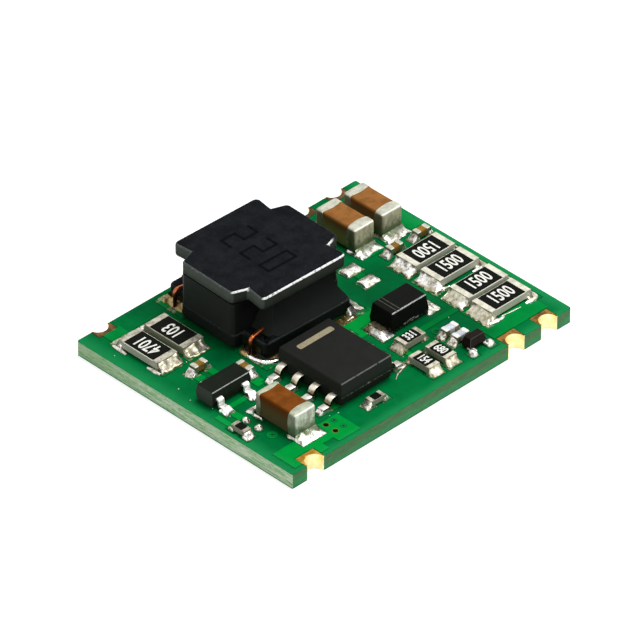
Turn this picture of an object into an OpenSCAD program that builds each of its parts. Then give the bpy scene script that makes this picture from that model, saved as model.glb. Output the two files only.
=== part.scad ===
// Open-board DC-DC converter module: a small castellated board that carries a drum inductor,
// a controller, a diode, two transistors and chip parts, all soldered on its upper side.
// Millimetres. The origin is the middle of the underside, +X runs along the long side, +Z is up.

/* [Board] */
// Length of the board along X
board_l = 21.2; // [20.8:0.1:26]
// Width of the board along Y
board_w = 16.65; // [16.4:0.05:20]
// Finished thickness from the underside to the bare upper mask
board_t = 0.95; // [0.6:0.05:1.6]
// Radius of the four board corners
corner_r = 0.1; // [0.05:0.05:0.5]
// Thickness of the copper foil
copper_t = 0.035; // [0.018:0.001:0.07]
// Thickness of the solder mask
mask_t = 0.025; // [0.01:0.005:0.05]
// Gap between a bare pad and the edge of the mask round it
mask_gap = 0.05; // [0.02:0.01:0.08]
// Inner radius of a plated via
via_r = 0.12; // [0.08:0.01:0.16]

/* [Castellations] */
// Grid that the edge contacts sit on
grid = 2.54; // [2.5:0.01:2.6]
// Radius of a plated half hole
half_hole_r = 0.57; // [0.4:0.01:0.62]
// Depth of the half holes in the front edge
front_depth = 0.62; // [0.4:0.01:0.7]
// Depth of the half holes in the rear edge
rear_depth = 0.42; // [0.3:0.01:0.6]
// Thickness of the plating in the half holes and vias
plating_t = 0.05; // [0.02:0.01:0.08]
// Width of the gold land on either side of a plated half hole
land_rim = 0.03; // [0.02:0.01:0.2]
// How far a gold land reaches in past its half hole
land_margin = 0.25; // [0.15:0.05:0.5]

/* [Solder] */
// Extra solder under a terminal, over the height of the mask
standoff = 0.03; // [0.01:0.01:0.1]
// Width of the ledge at the top of a solder fillet
fillet_lip = 0.03; // [0.02:0.01:0.05]

/* [Inductor] */
// Length of both flanges along X
drum_l = 7.85; // [7:0.05:8.2]
// Width of the upper flange along Y
drum_top_w = 7.2; // [6.6:0.05:7.4]
// Width of the lower flange along Y
drum_base_w = 7.8; // [7.4:0.05:8]
// Height of the ferrite drum
drum_h = 3.72; // [3:0.05:5]
// Thickness of the lower flange
base_flange_t = 0.9; // [0.6:0.05:1.1]
// Thickness of the upper flange
top_flange_t = 0.82; // [0.6:0.02:1.1]
// Width of the arms that point along Y
drum_arm_x = 6.25; // [5.8:0.05:6.5]
// Width of the arms that point along X
drum_arm_y = 4.3; // [3.8:0.05:4.6]
// Diameter of the winding wire
wire_d = 0.24; // [0.16:0.01:0.3]
// Radius of the drum's centre post
post_r = 1.9; // [1.6:0.05:2.2]
// Turns in each layer of the winding
coil_turns = 7; // [5:1:8]
// Turn of the whole inductor on its pads, as it was soldered
drum_turn = -1.5; // [-3:0.1:3]

/* [Controller] */
// Body size of the controller across its leads
ic_w = 3.9; // [3.7:0.05:4]
// Body size of the controller along its rows of leads
ic_l = 4.9; // [4.7:0.05:5.1]
// Height of the controller's body
ic_h = 1.42; // [1.25:0.01:1.6]
// Pitch of the controller's leads
ic_pitch = 1.27; // [1.25:0.01:1.3]
// Span over the tips of the controller's leads
ic_span = 6; // [5.8:0.05:6.2]
// Width of a controller lead
ic_lead_w = 0.42; // [0.33:0.01:0.5]

/* [Diode] */
// Length of the diode's body
diode_l = 2.85; // [2.6:0.05:3]
// Width of the diode's body
diode_w = 1.75; // [1.6:0.05:1.9]
// Height of the diode's body
diode_h = 1.24; // [1:0.01:1.4]
// Width of the diode's flat leads
diode_lead_w = 1; // [0.8:0.05:1.2]

/* [Transistors] */
// Length of the larger transistor's body
sot_l = 2.9; // [2.8:0.05:3]
// Width of the larger transistor's body
sot_w = 1.3; // [1.2:0.05:1.4]
// Height of the larger transistor's body
sot_h = 0.95; // [0.9:0.01:1.1]
// Length of the smaller transistor's body
mini_l = 1.25; // [1.1:0.05:1.3]
// Width of the smaller transistor's body
mini_w = 0.72; // [0.6:0.02:0.76]
// Height of the smaller transistor's body
mini_h = 0.68; // [0.6:0.01:0.8]

/* [Chip parts] */
// Length of the large chip resistors
big_res_l = 3.05; // [2.95:0.05:3.3]
// Width of the large chip resistors
big_res_w = 1.5; // [1.4:0.05:1.65]
// Height of the large chip resistors
big_res_h = 0.48; // [0.4:0.01:0.6]
// Length of the large chip capacitors
big_cap_l = 3.1; // [3:0.05:3.3]
// Width of the large chip capacitors
big_cap_w = 1.58; // [1.4:0.02:1.7]
// Height of the large chip capacitors
big_cap_h = 1.56; // [1.2:0.02:1.8]
// Length of the middle chip resistors
mid_res_l = 1.58; // [1.5:0.02:1.7]
// Width of the middle chip resistors
mid_res_w = 0.8; // [0.7:0.02:0.9]
// Height of the middle chip resistors
mid_res_h = 0.42; // [0.35:0.01:0.5]
// Length of the tiny chips
tiny_l = 1; // [0.95:0.01:1.05]
// Width of the tiny chips
tiny_w = 0.5; // [0.45:0.01:0.55]
// Height of the tiny capacitors
tiny_cap_h = 0.48; // [0.4:0.01:0.55]
// Height of the tiny resistors
tiny_res_h = 0.35; // [0.3:0.01:0.4]
// Thickness of the tin on a chip's ends
tin_t = 0.03; // [0.02:0.005:0.05]

/* [Hidden] */
$fn = 64;

// Heights of the layers, from the underside up
z_core = mask_t + copper_t;
z_foil = board_t - mask_t;
z_pad = z_foil + copper_t;
film = mask_t + standoff;
z_seat = z_pad + film;
slack = 1;

// How nearly the arc of a solder fillet meets its pad and its terminal at a tangent
fillet_bow = 0.93;

// Places are given for a board of 21.2 by 16.65, and follow the board's real size
stretch = [board_l / 21.2, board_w / 16.65];
function place(p) = [p.x * stretch.x, p.y * stretch.y];

// Edge contacts: the grid column of each half hole from the left, and its edge
contact_columns = [0, 6, 7];
contact_x0 = -max(contact_columns) * grid / 2;
CONTACTS = [
    for (edge = [-1, 1])
        for (column = contact_columns)
            [contact_x0 + column * grid, edge]
];
function contact_depth(c) = c[1] < 0 ? front_depth : rear_depth;
function contact_y(c) = c[1] * (board_w / 2 - contact_depth(c) + half_hole_r);
function land_reach(c) = contact_depth(c) + land_margin;
land_w = 2 * (half_hole_r + plating_t + land_rim);

// Plated vias, open or closed by the upper mask, and the ring of copper round each
OPEN_VIAS = [for (p = [[-6.3, -6.48], [-6.3, -7.2]]) place(p)];
CLOSED_VIAS = [for (p = [[-8.95, -5.1], [-5.7, -6.5], [-5.68, -7.2], [3.85, -4.72]]) place(p)];
VIAS = concat(OPEN_VIAS, CLOSED_VIAS);
via_ring_w = 0.1;
via_ring_r = via_r + plating_t + via_ring_w;

// Chip kinds: length, width, height, length of the end bands, and for capacitors the radius of their edges
big_res_band = 0.38;
big_cap_band = 0.62;
mid_res_band = 0.26;
tiny_res_band = 0.22;
tiny_cap_band = 0.26;
big_cap_edge_r = 0.15;
tiny_cap_edge_r = 0.07;
BIG_RES = [big_res_l, big_res_w, big_res_h, big_res_band];
BIG_CAP = [big_cap_l, big_cap_w, big_cap_h, big_cap_band, big_cap_edge_r];
MID_RES = [mid_res_l, mid_res_w, mid_res_h, mid_res_band];
TINY_RES = [tiny_l, tiny_w, tiny_res_h, tiny_res_band];
TINY_CAP = [tiny_l, tiny_w, tiny_cap_h, tiny_cap_band, tiny_cap_edge_r];

// How far the pads run out past the ends of the chips
sense_pad_long = 0.66;
sense_pad_short = 0.46;
sense_pad_side = 0.29;
left_res_pad = 0.56;
left_cap_pad_front = 0.68;
left_cap_pad_rear = 0.6;
rear_cap_pad = 0.5;
mid_pad_long = 0.42;
tiny_pad_long = 0.38;
small_pad = 0.3;

// Chips: place, turn about Z, kind, pad reach past the minus end and past the plus end, and for some
// the extra width of their pads on the minus Y side
SENSE_RESISTORS = [
    for (p = [[8.27, 0.52, 0], [8.25, -1.36, 1], [8.25, -3.58, 0], [8.19, -5.36, 1]])
        [place(p), 0, BIG_RES, sense_pad_long, sense_pad_short, p.z * sense_pad_side]
];
LEFT_RESISTORS = [
    for (p = [[-8.65, 4.8], [-6.72, 4.8]])
        [place(p), 90, BIG_RES, left_res_pad, left_res_pad]
];
LEFT_CAPACITOR = [place([-7.63, -4.75]), 90, BIG_CAP, left_cap_pad_front, left_cap_pad_rear];
REAR_CAPACITORS = [
    for (p = [[6.38, 4.9], [8.5, 4.88]])
        [place(p), 90, BIG_CAP, rear_cap_pad, rear_cap_pad]
];
SMALL_RESISTORS = [
    [place([2.1, -4.43]), 0, MID_RES, mid_pad_long, small_pad],
    [place([1.13, -6.46]), 90, MID_RES, mid_pad_long, small_pad],
    [place([2.4, -6.46]), 90, MID_RES, mid_pad_long, small_pad],
    [place([-9.95, -3.75]), 90, TINY_RES, tiny_pad_long, small_pad],
    [place([-2.97, -6.88]), 0, TINY_RES, tiny_pad_long, tiny_pad_long]
];
BROWN_CAPACITORS = [
    [place([-7.75, 1.8]), 0, TINY_CAP, tiny_pad_long, small_pad],
    [place([-6.1, -0.06]), 90, TINY_CAP, tiny_pad_long, small_pad],
    [place([7.36, 2.05]), 0, TINY_CAP, tiny_pad_long, small_pad],
    [place([9.48, 2.08]), 0, TINY_CAP, tiny_pad_long, small_pad]
];
GREY_CAPACITORS = [
    for (p = [[4.2, -5.36], [4.2, -6.16]])
        [place(p), 0, TINY_CAP, tiny_pad_long, small_pad]
];
CHIPS = concat(
    SENSE_RESISTORS, LEFT_RESISTORS, [LEFT_CAPACITOR], REAR_CAPACITORS,
    SMALL_RESISTORS, BROWN_CAPACITORS, GREY_CAPACITORS
);
chip_pad_margin = 0.12;
chip_pad_inset = 0.08;
function chip_pad_w(kind) = kind[1] + 2 * chip_pad_margin;

// Gull-wing lead kinds: width, thickness, bend radius, foot length, pad reach past the tip, pad width
ic_lead_t = 0.2;
ic_bend_r = 0.13;
ic_foot_l = 0.5;
ic_pad_out = 0.32;
ic_pad_w = 0.6;
IC_LEAD = [ic_lead_w, ic_lead_t, ic_bend_r, ic_foot_l, ic_pad_out, ic_pad_w];
sot_lead_w = 0.42;
sot_lead_t = 0.12;
sot_bend_r = 0.1;
sot_foot_l = 0.22;
sot_pad_out = 0.4;
sot_pad_w = 0.8;
SOT_LEAD = [sot_lead_w, sot_lead_t, sot_bend_r, sot_foot_l, sot_pad_out, sot_pad_w];
lead_bite = 0.3;

// Leaded parts: their places, the heights of their parting lines, and their leads
body_lift = 0.05;
body_draft = 0.12;
lead_wetting = 0.8;
ic_at = place([-2.75, -3.58]);
ic_part_z = 0.82;
ic_lead_l = (ic_span - ic_w) / 2;
sot_at = place([-8.25, -0.63]);
sot_part_z = 0.5;
sot_lead_l = 0.55;
sot_pitch = 0.95;
mini_at = place([4.43, -6.98]);
mini_part_z = 0.2;
mini_pitch = 0.5;
mini_lead_w = 0.26;
mini_lead_t = 0.12;
mini_front_out = 0.26;
mini_rear_out = 0.08;
mini_blob_l = 0.66;
mini_blob_w = 0.58;
mini_blob_h = 0.26;
mini_blob_shift = [0.16, -0.22];
function mini_blob_at(side) =
    mini_at + [side * (mini_pitch + mini_blob_shift.x), -mini_w / 2 + mini_blob_shift.y];
diode_at = place([3.3, -2.4]);
diode_part_z = 0.3;
diode_lead_t = 0.2;
diode_lead_out = 0.42;
diode_pad_w = 1.75;
diode_pad_out = 0.4;
diode_pad_in = 0.2;
diode_pad_shift = -0.2;

// Inductor: the drum stands on two electrodes, whose ends turn up in the notches of its base
drum_at = place([-1.29, 3.7]);
drum_corner_r = 0.32;
base_step = 0.15;
base_arm_x = drum_arm_x + base_step;
notch_slant_x = 0.16;
notch_slant_y = 0.17;
electrode_t = 0.07;
electrode_gap = 0.15;
electrode_tab_h = 0.6;
electrode_w = (drum_base_w - drum_arm_y) / 2 - electrode_gap;
electrode_l = electrode_w - drum_corner_r;
z_drum = z_seat + electrode_t;
drum_pad_end = 0.56;
drum_pad_front = 0.62;
drum_pad_in = 0.2;
drum_room_x = abs(sin(drum_turn)) * drum_base_w / 2;
drum_room_y = abs(sin(drum_turn)) * (base_arm_x / 2 + drum_pad_end);
drum_wetting = 0.8;

// Winding: its tails leave the outer layer at a tangent, cross the lower flange and turn down at its ends
winding_gap = drum_h - base_flange_t - top_flange_t;
z_winding = z_drum + base_flange_t;
turn_pitch = winding_gap / coil_turns;
groove_r = turn_pitch / 2.4;
tail_gap = 0.1;
tail_lift = 0.02;
tail_angle = 10;
tail_turn_r = 0.26;
tail_out = base_arm_x / 2 + electrode_t + tail_gap + wire_d / 2;
tail_y = drum_arm_y / 2 + tail_gap + wire_d / 2;
tail_x = tail_out / cos(tail_angle) + tail_y * tan(tail_angle);
tail_z = z_winding + tail_lift + wire_d / 2;
winding_r = tail_y + wire_d / 2;

// Resin: level with the arms along X. Along Y it sweeps from the lower flange's edge in to a waist, and it
// stops short of that flange's end where the tails come out
resin_inset = 0.03;
resin_lip = 0.06;
resin_tail_gap = 0.6;
resin_corner_r = 0.6;
waist_depth = 0.75;
waist_z = 1.9;
waist_r = (waist_depth * waist_depth + waist_z * waist_z) / (2 * waist_depth);

// Pads that carry solder and no part
BARE_PADS = [[4.44, 2.5], [4.4, 1.1]];
bare_pad_l = 1.3;
bare_pad_w = 0.9;
bare_dome_h = 0.16;
DOT_PADS = [[-9.12, -3.25], [-9.08, -4.2]];
dot_pad_r = 0.26;

// Copper that runs on under the mask: two corners for each pour or straight trace
copper_edge_gap = 0.3;
POURS = [
    [[-10.1, -8.0], [-7.6, -6.35]], [[-7.7, -7.5], [-6.6, -7.02]], [[-6.75, -7.95], [-5.2, -6.2]],
    [[0.42, -2.3], [2.7, -0.6]], [[3, -4.22], [6.2, -3.88]], [[4.2, 1.4], [4.7, 2.2]],
    [[5.6, -7.4], [9.7, -6.2]], [[9.3, 2.85], [10.35, 5.1]], [[-9.3, 6.6], [-8.1, 7.7]],
    [[-9.2, -1.9], [-7.3, -1.6]], [[-9.3, -3], [-8.9, -2.1]], [[-8.45, 0.9], [-7.95, 1.7]],
    [[-7.5, 0.95], [-7.1, 1.7]], [[-6.5, -1.5], [-5.9, -0.6]], [[-10.1, -3.4], [-9.8, -1.9]],
    [[-5.2, -5.8], [-4.6, -5.1]], [[6.2, 2.6], [7.2, 3.1]], [[1.2, -5.9], [1.5, -4.3]]
];

// Chip finish: how far the glaze keeps from the sides and stands proud, and how high solder climbs
glaze_rim = 0.06;
glaze_proud = 0.01;
resistor_wetting = 0.9;
big_cap_wetting = 0.32;
tiny_cap_wetting = 0.6;

// Small shared shapes

module rounded_plate(l, w, r) {
    square([l - 2 * r, w], center = true);
    square([l, w - 2 * r], center = true);
    for (x = [-1, 1], y = [-1, 1])
        translate([x * (l / 2 - r), y * (w / 2 - r)])
            circle(r);
}

module rect(x0, y0, x1, y1, grow = 0) {
    translate([x0 - grow, y0 - grow])
        square([x1 - x0 + 2 * grow, y1 - y0 + 2 * grow]);
}

module put(at, turn = 0, z = 0) {
    translate([at.x, at.y, z])
        rotate([0, 0, turn])
            children();
}

// Stands a profile drawn in X and Z upright, and spreads it over a width along Y
module across(width) {
    rotate([90, 0, 0])
        linear_extrude(width, center = true)
            children();
}

// Moulded body with draft above and below its parting line, on all four sides
module moulded(l, w, h, part_z, draft, base_z) {
    intersection() {
        across(w + slack)
            moulded_profile(l, h, part_z, draft, base_z);
        rotate([0, 0, 90])
            across(l + slack)
                moulded_profile(w, h, part_z, draft, base_z);
    }
}

module moulded_profile(l, h, part_z, draft, base_z) {
    low = draft * (part_z - base_z);
    high = draft * (h - part_z);
    polygon([
        [-l / 2 + low, base_z], [l / 2 - low, base_z], [l / 2, part_z],
        [l / 2 - high, h], [-l / 2 + high, h], [-l / 2, part_z]
    ]);
}

// Quarter of a bent strip, about its own centre
module bend_profile(r, t, quadrant) {
    intersection() {
        difference() {
            circle(r + t);
            circle(r);
        }
        rotate(90 * quadrant)
            square(r + t + slack);
    }
}

// Lead from a body face at x = 0 out to its tip, with its shoulder's middle at a height
module gull_lead(kind, reach, middle_z) {
    t = kind[1];
    r = kind[2];
    leg = reach - kind[3] - r - t;
    top = middle_z + t / 2;
    across(kind[0]) {
        translate([-lead_bite, top - t])
            square([lead_bite + leg - r, t]);
        translate([leg - r, top - t - r])
            bend_profile(r, t, 0);
        translate([leg, t + r])
            square([t, top - 2 * t - 2 * r]);
        translate([leg + t + r, t + r])
            bend_profile(r, t, 2);
        translate([leg + t + r, 0])
            square([kind[3], t]);
    }
}

// Concave solder fillet at the end of a terminal: the film runs under it and the arc climbs its face
module fillet(under, out, rise, w_in, w_out) {
    run = out - fillet_lip;
    tilt = atan2(rise, run);
    bow = fillet_bow * min(tilt, 90 - tilt);
    chord = norm([run, rise]);
    arc_r = chord / (2 * sin(bow));
    middle = [fillet_lip + run / 2, film + rise / 2];
    centre = middle + arc_r * cos(bow) * [rise, run] / chord;
    top = film + rise;
    intersection() {
        across(w_out + slack)
            difference() {
                polygon([[-under, 0], [out, 0], [out, top], [0, top], [0, film], [-under, film]]);
                translate(centre)
                    circle(arc_r, $fn = 96);
            }
        translate([0, 0, -slack])
            linear_extrude(top + 2 * slack)
                polygon([
                    [-under - slack, -w_in / 2], [0, -w_in / 2], [out, -w_out / 2],
                    [out, w_out / 2], [0, w_in / 2], [-under - slack, w_in / 2]
                ]);
    }
}

// Mound of solder on a pad, thinnest at the ends of its length
module dome(l, w, h) {
    half = max(l, w) / 2;
    dome_r = (half * half + h * h) / (2 * h);
    intersection() {
        translate([-l / 2, -w / 2, 0])
            cube([l, w, film + h + slack]);
        translate([0, 0, film + h - dome_r])
            sphere(dome_r, $fn = 96);
    }
}

// Board

module board_outline() {
    difference() {
        rounded_plate(board_l, board_w, corner_r);
        for (c = CONTACTS)
            translate([c[0], contact_y(c)])
                circle(half_hole_r + plating_t);
    }
}

module via_holes(r, vias = VIAS) {
    for (v = vias)
        translate(v)
            circle(r);
}

module laminate() {
    color("darkolivegreen")
        translate([0, 0, z_core])
            linear_extrude(z_foil - z_core)
                difference() {
                    board_outline();
                    via_holes(via_r + plating_t);
                }
}

module land_outline(c, grow = 0) {
    y_edge = c[1] * board_w / 2;
    y_in = y_edge - c[1] * land_reach(c);
    rect(c[0] - land_w / 2, min(y_edge, y_in), c[0] + land_w / 2, max(y_edge, y_in), grow);
}

module castellation(c) {
    color("gold")
        difference() {
            union() {
                intersection() {
                    translate([c[0], contact_y(c), 0])
                        cylinder(h = z_pad, r = half_hole_r + plating_t);
                    translate([-board_l / 2, -board_w / 2, 0])
                        cube([board_l, board_w, z_pad]);
                }
                linear_extrude(z_core)
                    land_outline(c);
                translate([0, 0, z_foil])
                    linear_extrude(copper_t)
                        land_outline(c);
            }
            translate([c[0], contact_y(c), -slack])
                cylinder(h = board_t + 2 * slack, r = half_hole_r);
        }
}

module via_barrels() {
    color("peru")
        for (v = VIAS)
            translate([v.x, v.y, mask_t])
                difference() {
                    cylinder(h = z_pad - mask_t, r = via_r + plating_t);
                    translate([0, 0, -slack])
                        cylinder(h = z_pad + 2 * slack, r = via_r);
                }
}

// Pads that carry a chip, in the chip's own frame
module chip_pads(chip, grow = 0) {
    kind = chip[2];
    half_w = chip_pad_w(kind) / 2;
    inner = kind[0] / 2 - kind[3] - chip_pad_inset;
    side = len(chip) > 5 ? chip[5] : 0;
    rect(-kind[0] / 2 - chip[3], -half_w - side, -inner, half_w, grow);
    rect(inner, -half_w - side, kind[0] / 2 + chip[4], half_w, grow);
}

// Pad under the foot of a lead whose body face is at x = 0
module lead_pad(kind, reach, grow = 0) {
    rect(reach - kind[3] - kind[2], -kind[5] / 2, reach + kind[4], kind[5] / 2, grow);
}

// Repeats its children at each controller lead, with X pointing out of the body
module at_ic_leads() {
    for (side = [0, 180], row = [-1.5 : 1.5])
        translate(ic_at)
            rotate(side)
                translate([ic_w / 2, row * ic_pitch])
                    children();
}

// Repeats its children at the three leads of a transistor, with X pointing out of the body
module at_sot_leads(at, w, pitch) {
    for (lead = [[-1, -pitch], [-1, pitch], [1, 0]])
        translate(at)
            translate([lead[1], lead[0] * w / 2])
                rotate(90 * lead[0])
                    children();
}

module at_diode_ends() {
    for (side = [0, 180])
        translate(diode_at)
            rotate(side)
                translate([diode_l / 2, side == 0 ? diode_pad_shift : -diode_pad_shift])
                    children();
}

// Long pads under the front and rear of the inductor, where the board's rear edge stops the second
module drum_pads(grow = 0) {
    half = base_arm_x / 2 + drum_pad_end + drum_room_x;
    near = drum_base_w / 2 - electrode_w - drum_pad_in - drum_room_y;
    front = drum_base_w / 2 + drum_pad_front;
    rear = min(front, board_w / 2 - copper_edge_gap - drum_at.y);
    translate(drum_at) {
        rect(-half, -front, half, -near, grow);
        rect(-half, near, half, rear, grow);
    }
}

// Pads of the small transistor, whose front leads end in wide blobs of solder
module mini_pads(grow = 0) {
    for (side = [-1, 1])
        translate(mini_blob_at(side))
            square([mini_blob_w + 2 * grow, mini_blob_l + 2 * grow], center = true);
    translate(mini_at)
        rect(
            -mini_lead_w / 2, mini_w / 2 - mini_lead_w, mini_lead_w / 2,
            mini_w / 2 + mini_rear_out, grow
        );
}

// Every pad that is left bare by the mask
module bare_copper(grow = 0) {
    for (chip = CHIPS)
        translate(chip[0])
            rotate(chip[1])
                chip_pads(chip, grow);
    at_ic_leads()
        lead_pad(IC_LEAD, ic_lead_l, grow);
    at_sot_leads(sot_at, sot_w, sot_pitch)
        lead_pad(SOT_LEAD, sot_lead_l, grow);
    mini_pads(grow);
    at_diode_ends()
        rect(-diode_pad_in, -diode_pad_w / 2, diode_lead_out + diode_pad_out, diode_pad_w / 2, grow);
    drum_pads(grow);
    for (p = BARE_PADS)
        translate(place(p))
            square([bare_pad_l + 2 * grow, bare_pad_w + 2 * grow], center = true);
    for (p = DOT_PADS)
        translate(place(p))
            circle(dot_pad_r + grow);
}

module pours(grow = 0) {
    for (p = POURS) {
        low = place(p[0]);
        high = place(p[1]);
        rect(low.x, low.y, high.x, high.y, grow);
    }
    for (v = VIAS)
        translate(v)
            circle(via_ring_r + grow);
}

module all_lands(grow = 0) {
    for (c = CONTACTS)
        land_outline(c, grow);
}

module copper_top() {
    color("darkgoldenrod")
        translate([0, 0, z_foil])
            linear_extrude(copper_t)
                difference() {
                    union() {
                        bare_copper();
                        pours();
                    }
                    all_lands();
                    via_holes(via_r + plating_t);
                }
}

module copper_bottom() {
    color("darkgoldenrod")
        translate([0, 0, mask_t])
            linear_extrude(copper_t)
                difference() {
                    square([board_l - 2 * copper_edge_gap, board_w - 2 * copper_edge_gap], center = true);
                    all_lands(copper_edge_gap);
                    via_holes(via_r + plating_t);
                }
}

// The upper mask lies on the bare laminate and steps up over the copper
module mask_top() {
    color("green")
        difference() {
            translate([0, 0, z_foil])
                union() {
                    linear_extrude(mask_t)
                        board_outline();
                    linear_extrude(copper_t + mask_t)
                        intersection() {
                            board_outline();
                            pours(mask_t);
                        }
                }
            translate([0, 0, z_foil - slack])
                linear_extrude(slack + copper_t)
                    pours();
            translate([0, 0, z_foil - slack])
                linear_extrude(2 * slack) {
                    bare_copper(mask_gap);
                    all_lands(mask_gap);
                    via_holes(via_r, OPEN_VIAS);
                }
        }
}

module mask_bottom() {
    color("darkgreen")
        difference() {
            linear_extrude(z_core)
                difference() {
                    board_outline();
                    all_lands();
                    via_holes(via_r);
                }
            copper_bottom();
            via_barrels();
        }
}

// Chip parts, each in its own frame with the length along X and the seat at z = 0

module resistor_substrate(kind) {
    color("gainsboro")
        translate([-kind[0] / 2 + tin_t, -kind[1] / 2, tin_t])
            cube([kind[0] - 2 * tin_t, kind[1], kind[2] - 2 * tin_t]);
}

module resistor_glaze(kind) {
    color("black")
        translate([-kind[0] / 2 + kind[3], -kind[1] / 2 + glaze_rim, kind[2] - tin_t])
            cube([kind[0] - 2 * kind[3], kind[1] - 2 * glaze_rim, tin_t + glaze_proud]);
}

module resistor_ends(kind) {
    color("silver")
        for (turn = [0, 180])
            rotate(turn)
                across(kind[1])
                    difference() {
                        translate([kind[0] / 2 - kind[3], 0])
                            square([kind[3], kind[2]]);
                        translate([0, tin_t])
                            square([kind[0] / 2 - tin_t, kind[2] - 2 * tin_t]);
                    }
}

// Block with rounded edges, apart from those that lie on its solder
module soft_block(l, w, h, r) {
    intersection() {
        linear_extrude(h)
            rounded_plate(l, w, r);
        across(w + slack)
            translate([0, h / 2 - r])
                rounded_plate(l, h + 2 * r, r);
        rotate([0, 0, 90])
            across(l + slack)
                translate([0, h / 2 - r])
                    rounded_plate(w, h + 2 * r, r);
    }
}

module capacitor_ceramic(kind) {
    translate([0, 0, tin_t])
        soft_block(kind[0] - 2 * tin_t, kind[1] - 2 * tin_t, kind[2] - 2 * tin_t, kind[4]);
}

// Dipped end caps, whose edges bow towards the middle of the chip
module capacitor_ends(kind) {
    bow_r = kind[1];
    color("silver")
        for (turn = [0, 180])
            rotate(turn)
                difference() {
                    intersection() {
                        soft_block(kind[0], kind[1], kind[2], kind[4]);
                        translate([kind[0] / 2 - kind[3] + bow_r, 0, -slack])
                            cylinder(h = kind[2] + 2 * slack, r = bow_r);
                    }
                    capacitor_ceramic(kind);
                }
}

module at_chip(chip) {
    put(chip[0], chip[1], z_seat)
        children();
}

module chip_joints(chip, wetting) {
    kind = chip[2];
    rise = wetting * kind[2];
    put(chip[0], chip[1], z_pad)
        for (end = [[180, 3], [0, 4]])
            rotate(end[0])
                translate([kind[0] / 2, 0, 0])
                    fillet(kind[3], chip[end[1]], rise, kind[1], chip_pad_w(kind));
}

module chip_solder() {
    color("lightgray") {
        for (chip = concat(SENSE_RESISTORS, LEFT_RESISTORS, SMALL_RESISTORS))
            chip_joints(chip, resistor_wetting);
        for (chip = concat([LEFT_CAPACITOR], REAR_CAPACITORS))
            chip_joints(chip, big_cap_wetting);
        for (chip = concat(BROWN_CAPACITORS, GREY_CAPACITORS))
            chip_joints(chip, tiny_cap_wetting);
    }
}

module small_resistor_substrates() {
    for (chip = SMALL_RESISTORS)
        at_chip(chip)
            resistor_substrate(chip[2]);
}

module small_resistor_glazes() {
    for (chip = SMALL_RESISTORS)
        at_chip(chip)
            resistor_glaze(chip[2]);
}

module small_resistor_ends() {
    for (chip = SMALL_RESISTORS)
        at_chip(chip)
            resistor_ends(chip[2]);
}

module brown_capacitor_ceramics() {
    color("saddlebrown")
        for (chip = BROWN_CAPACITORS)
            at_chip(chip)
                capacitor_ceramic(chip[2]);
}

module grey_capacitor_ceramics() {
    color("lightslategray")
        for (chip = GREY_CAPACITORS)
            at_chip(chip)
                capacitor_ceramic(chip[2]);
}

module small_capacitor_ends() {
    for (chip = concat(BROWN_CAPACITORS, GREY_CAPACITORS))
        at_chip(chip)
            capacitor_ends(chip[2]);
}

// Leaded parts

module ic_leads() {
    color("silver")
        translate([0, 0, z_seat])
            at_ic_leads()
                gull_lead(IC_LEAD, ic_lead_l, ic_part_z);
}

module ic_body() {
    color("dimgray")
        difference() {
            put(ic_at, 0, z_seat)
                moulded(ic_w, ic_l, body_lift + ic_h, ic_part_z, body_draft, body_lift);
            ic_leads();
        }
}

module transistor_leads() {
    color("silver")
        translate([0, 0, z_seat])
            at_sot_leads(sot_at, sot_w, sot_pitch)
                gull_lead(SOT_LEAD, sot_lead_l, sot_part_z);
}

module transistor_body() {
    color("black")
        difference() {
            put(sot_at, 0, z_seat)
                moulded(sot_l, sot_w, body_lift + sot_h, sot_part_z, body_draft, body_lift);
            transistor_leads();
        }
}

// Flat strips: two at the front near the body's ends, and a short one at the back
module small_transistor_leads() {
    color("silver")
        put(mini_at, 0, z_seat) {
            for (side = [-1, 1])
                translate([side * mini_pitch - mini_lead_w / 2, -mini_w / 2 - mini_front_out, 0])
                    cube([mini_lead_w, mini_front_out + mini_lead_w, mini_lead_t]);
            translate([-mini_lead_w / 2, mini_w / 2 - mini_lead_w, 0])
                cube([mini_lead_w, mini_lead_w + mini_rear_out, mini_lead_t]);
        }
}

module small_transistor_body() {
    color("black")
        difference() {
            put(mini_at, 0, z_seat)
                moulded(mini_l, mini_w, mini_h, mini_part_z, 2 * body_draft, 0);
            small_transistor_leads();
        }
}

// Flat strips that leave the diode's ends at the height of the board
module diode_leads() {
    color("silver")
        for (side = [0, 180])
            put(diode_at, side, z_seat)
                translate([diode_l / 2 - lead_bite, -diode_lead_w / 2, 0])
                    cube([lead_bite + diode_lead_out, diode_lead_w, diode_lead_t]);
}

module diode_body() {
    color("black")
        difference() {
            put(diode_at, 0, z_seat)
                moulded(diode_l, diode_w, diode_h, diode_part_z, body_draft, 0);
            diode_leads();
        }
}

module lead_joint(kind, reach) {
    translate([reach, 0, 0])
        fillet(kind[3], kind[4], lead_wetting * kind[1], kind[0], kind[5]);
}

module diode_joint() {
    translate([diode_l / 2 + diode_lead_out, 0, 0])
        fillet(
            diode_lead_out, diode_pad_out, lead_wetting * diode_lead_t,
            diode_lead_w, diode_pad_w + 2 * diode_pad_shift
        );
}

// Blobs that bury the front leads of the small transistor, and the film under its rear lead
module mini_joints() {
    difference() {
        for (side = [-1, 1])
            translate(mini_blob_at(side))
                dome(mini_blob_w, mini_blob_l, mini_blob_h);
        translate([0, 0, -z_pad]) {
            small_transistor_leads();
            small_transistor_body();
        }
    }
    translate([mini_at.x - mini_lead_w / 2, mini_at.y + mini_w / 2 - mini_lead_w, 0])
        cube([mini_lead_w, mini_lead_w + mini_rear_out, film]);
}

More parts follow.
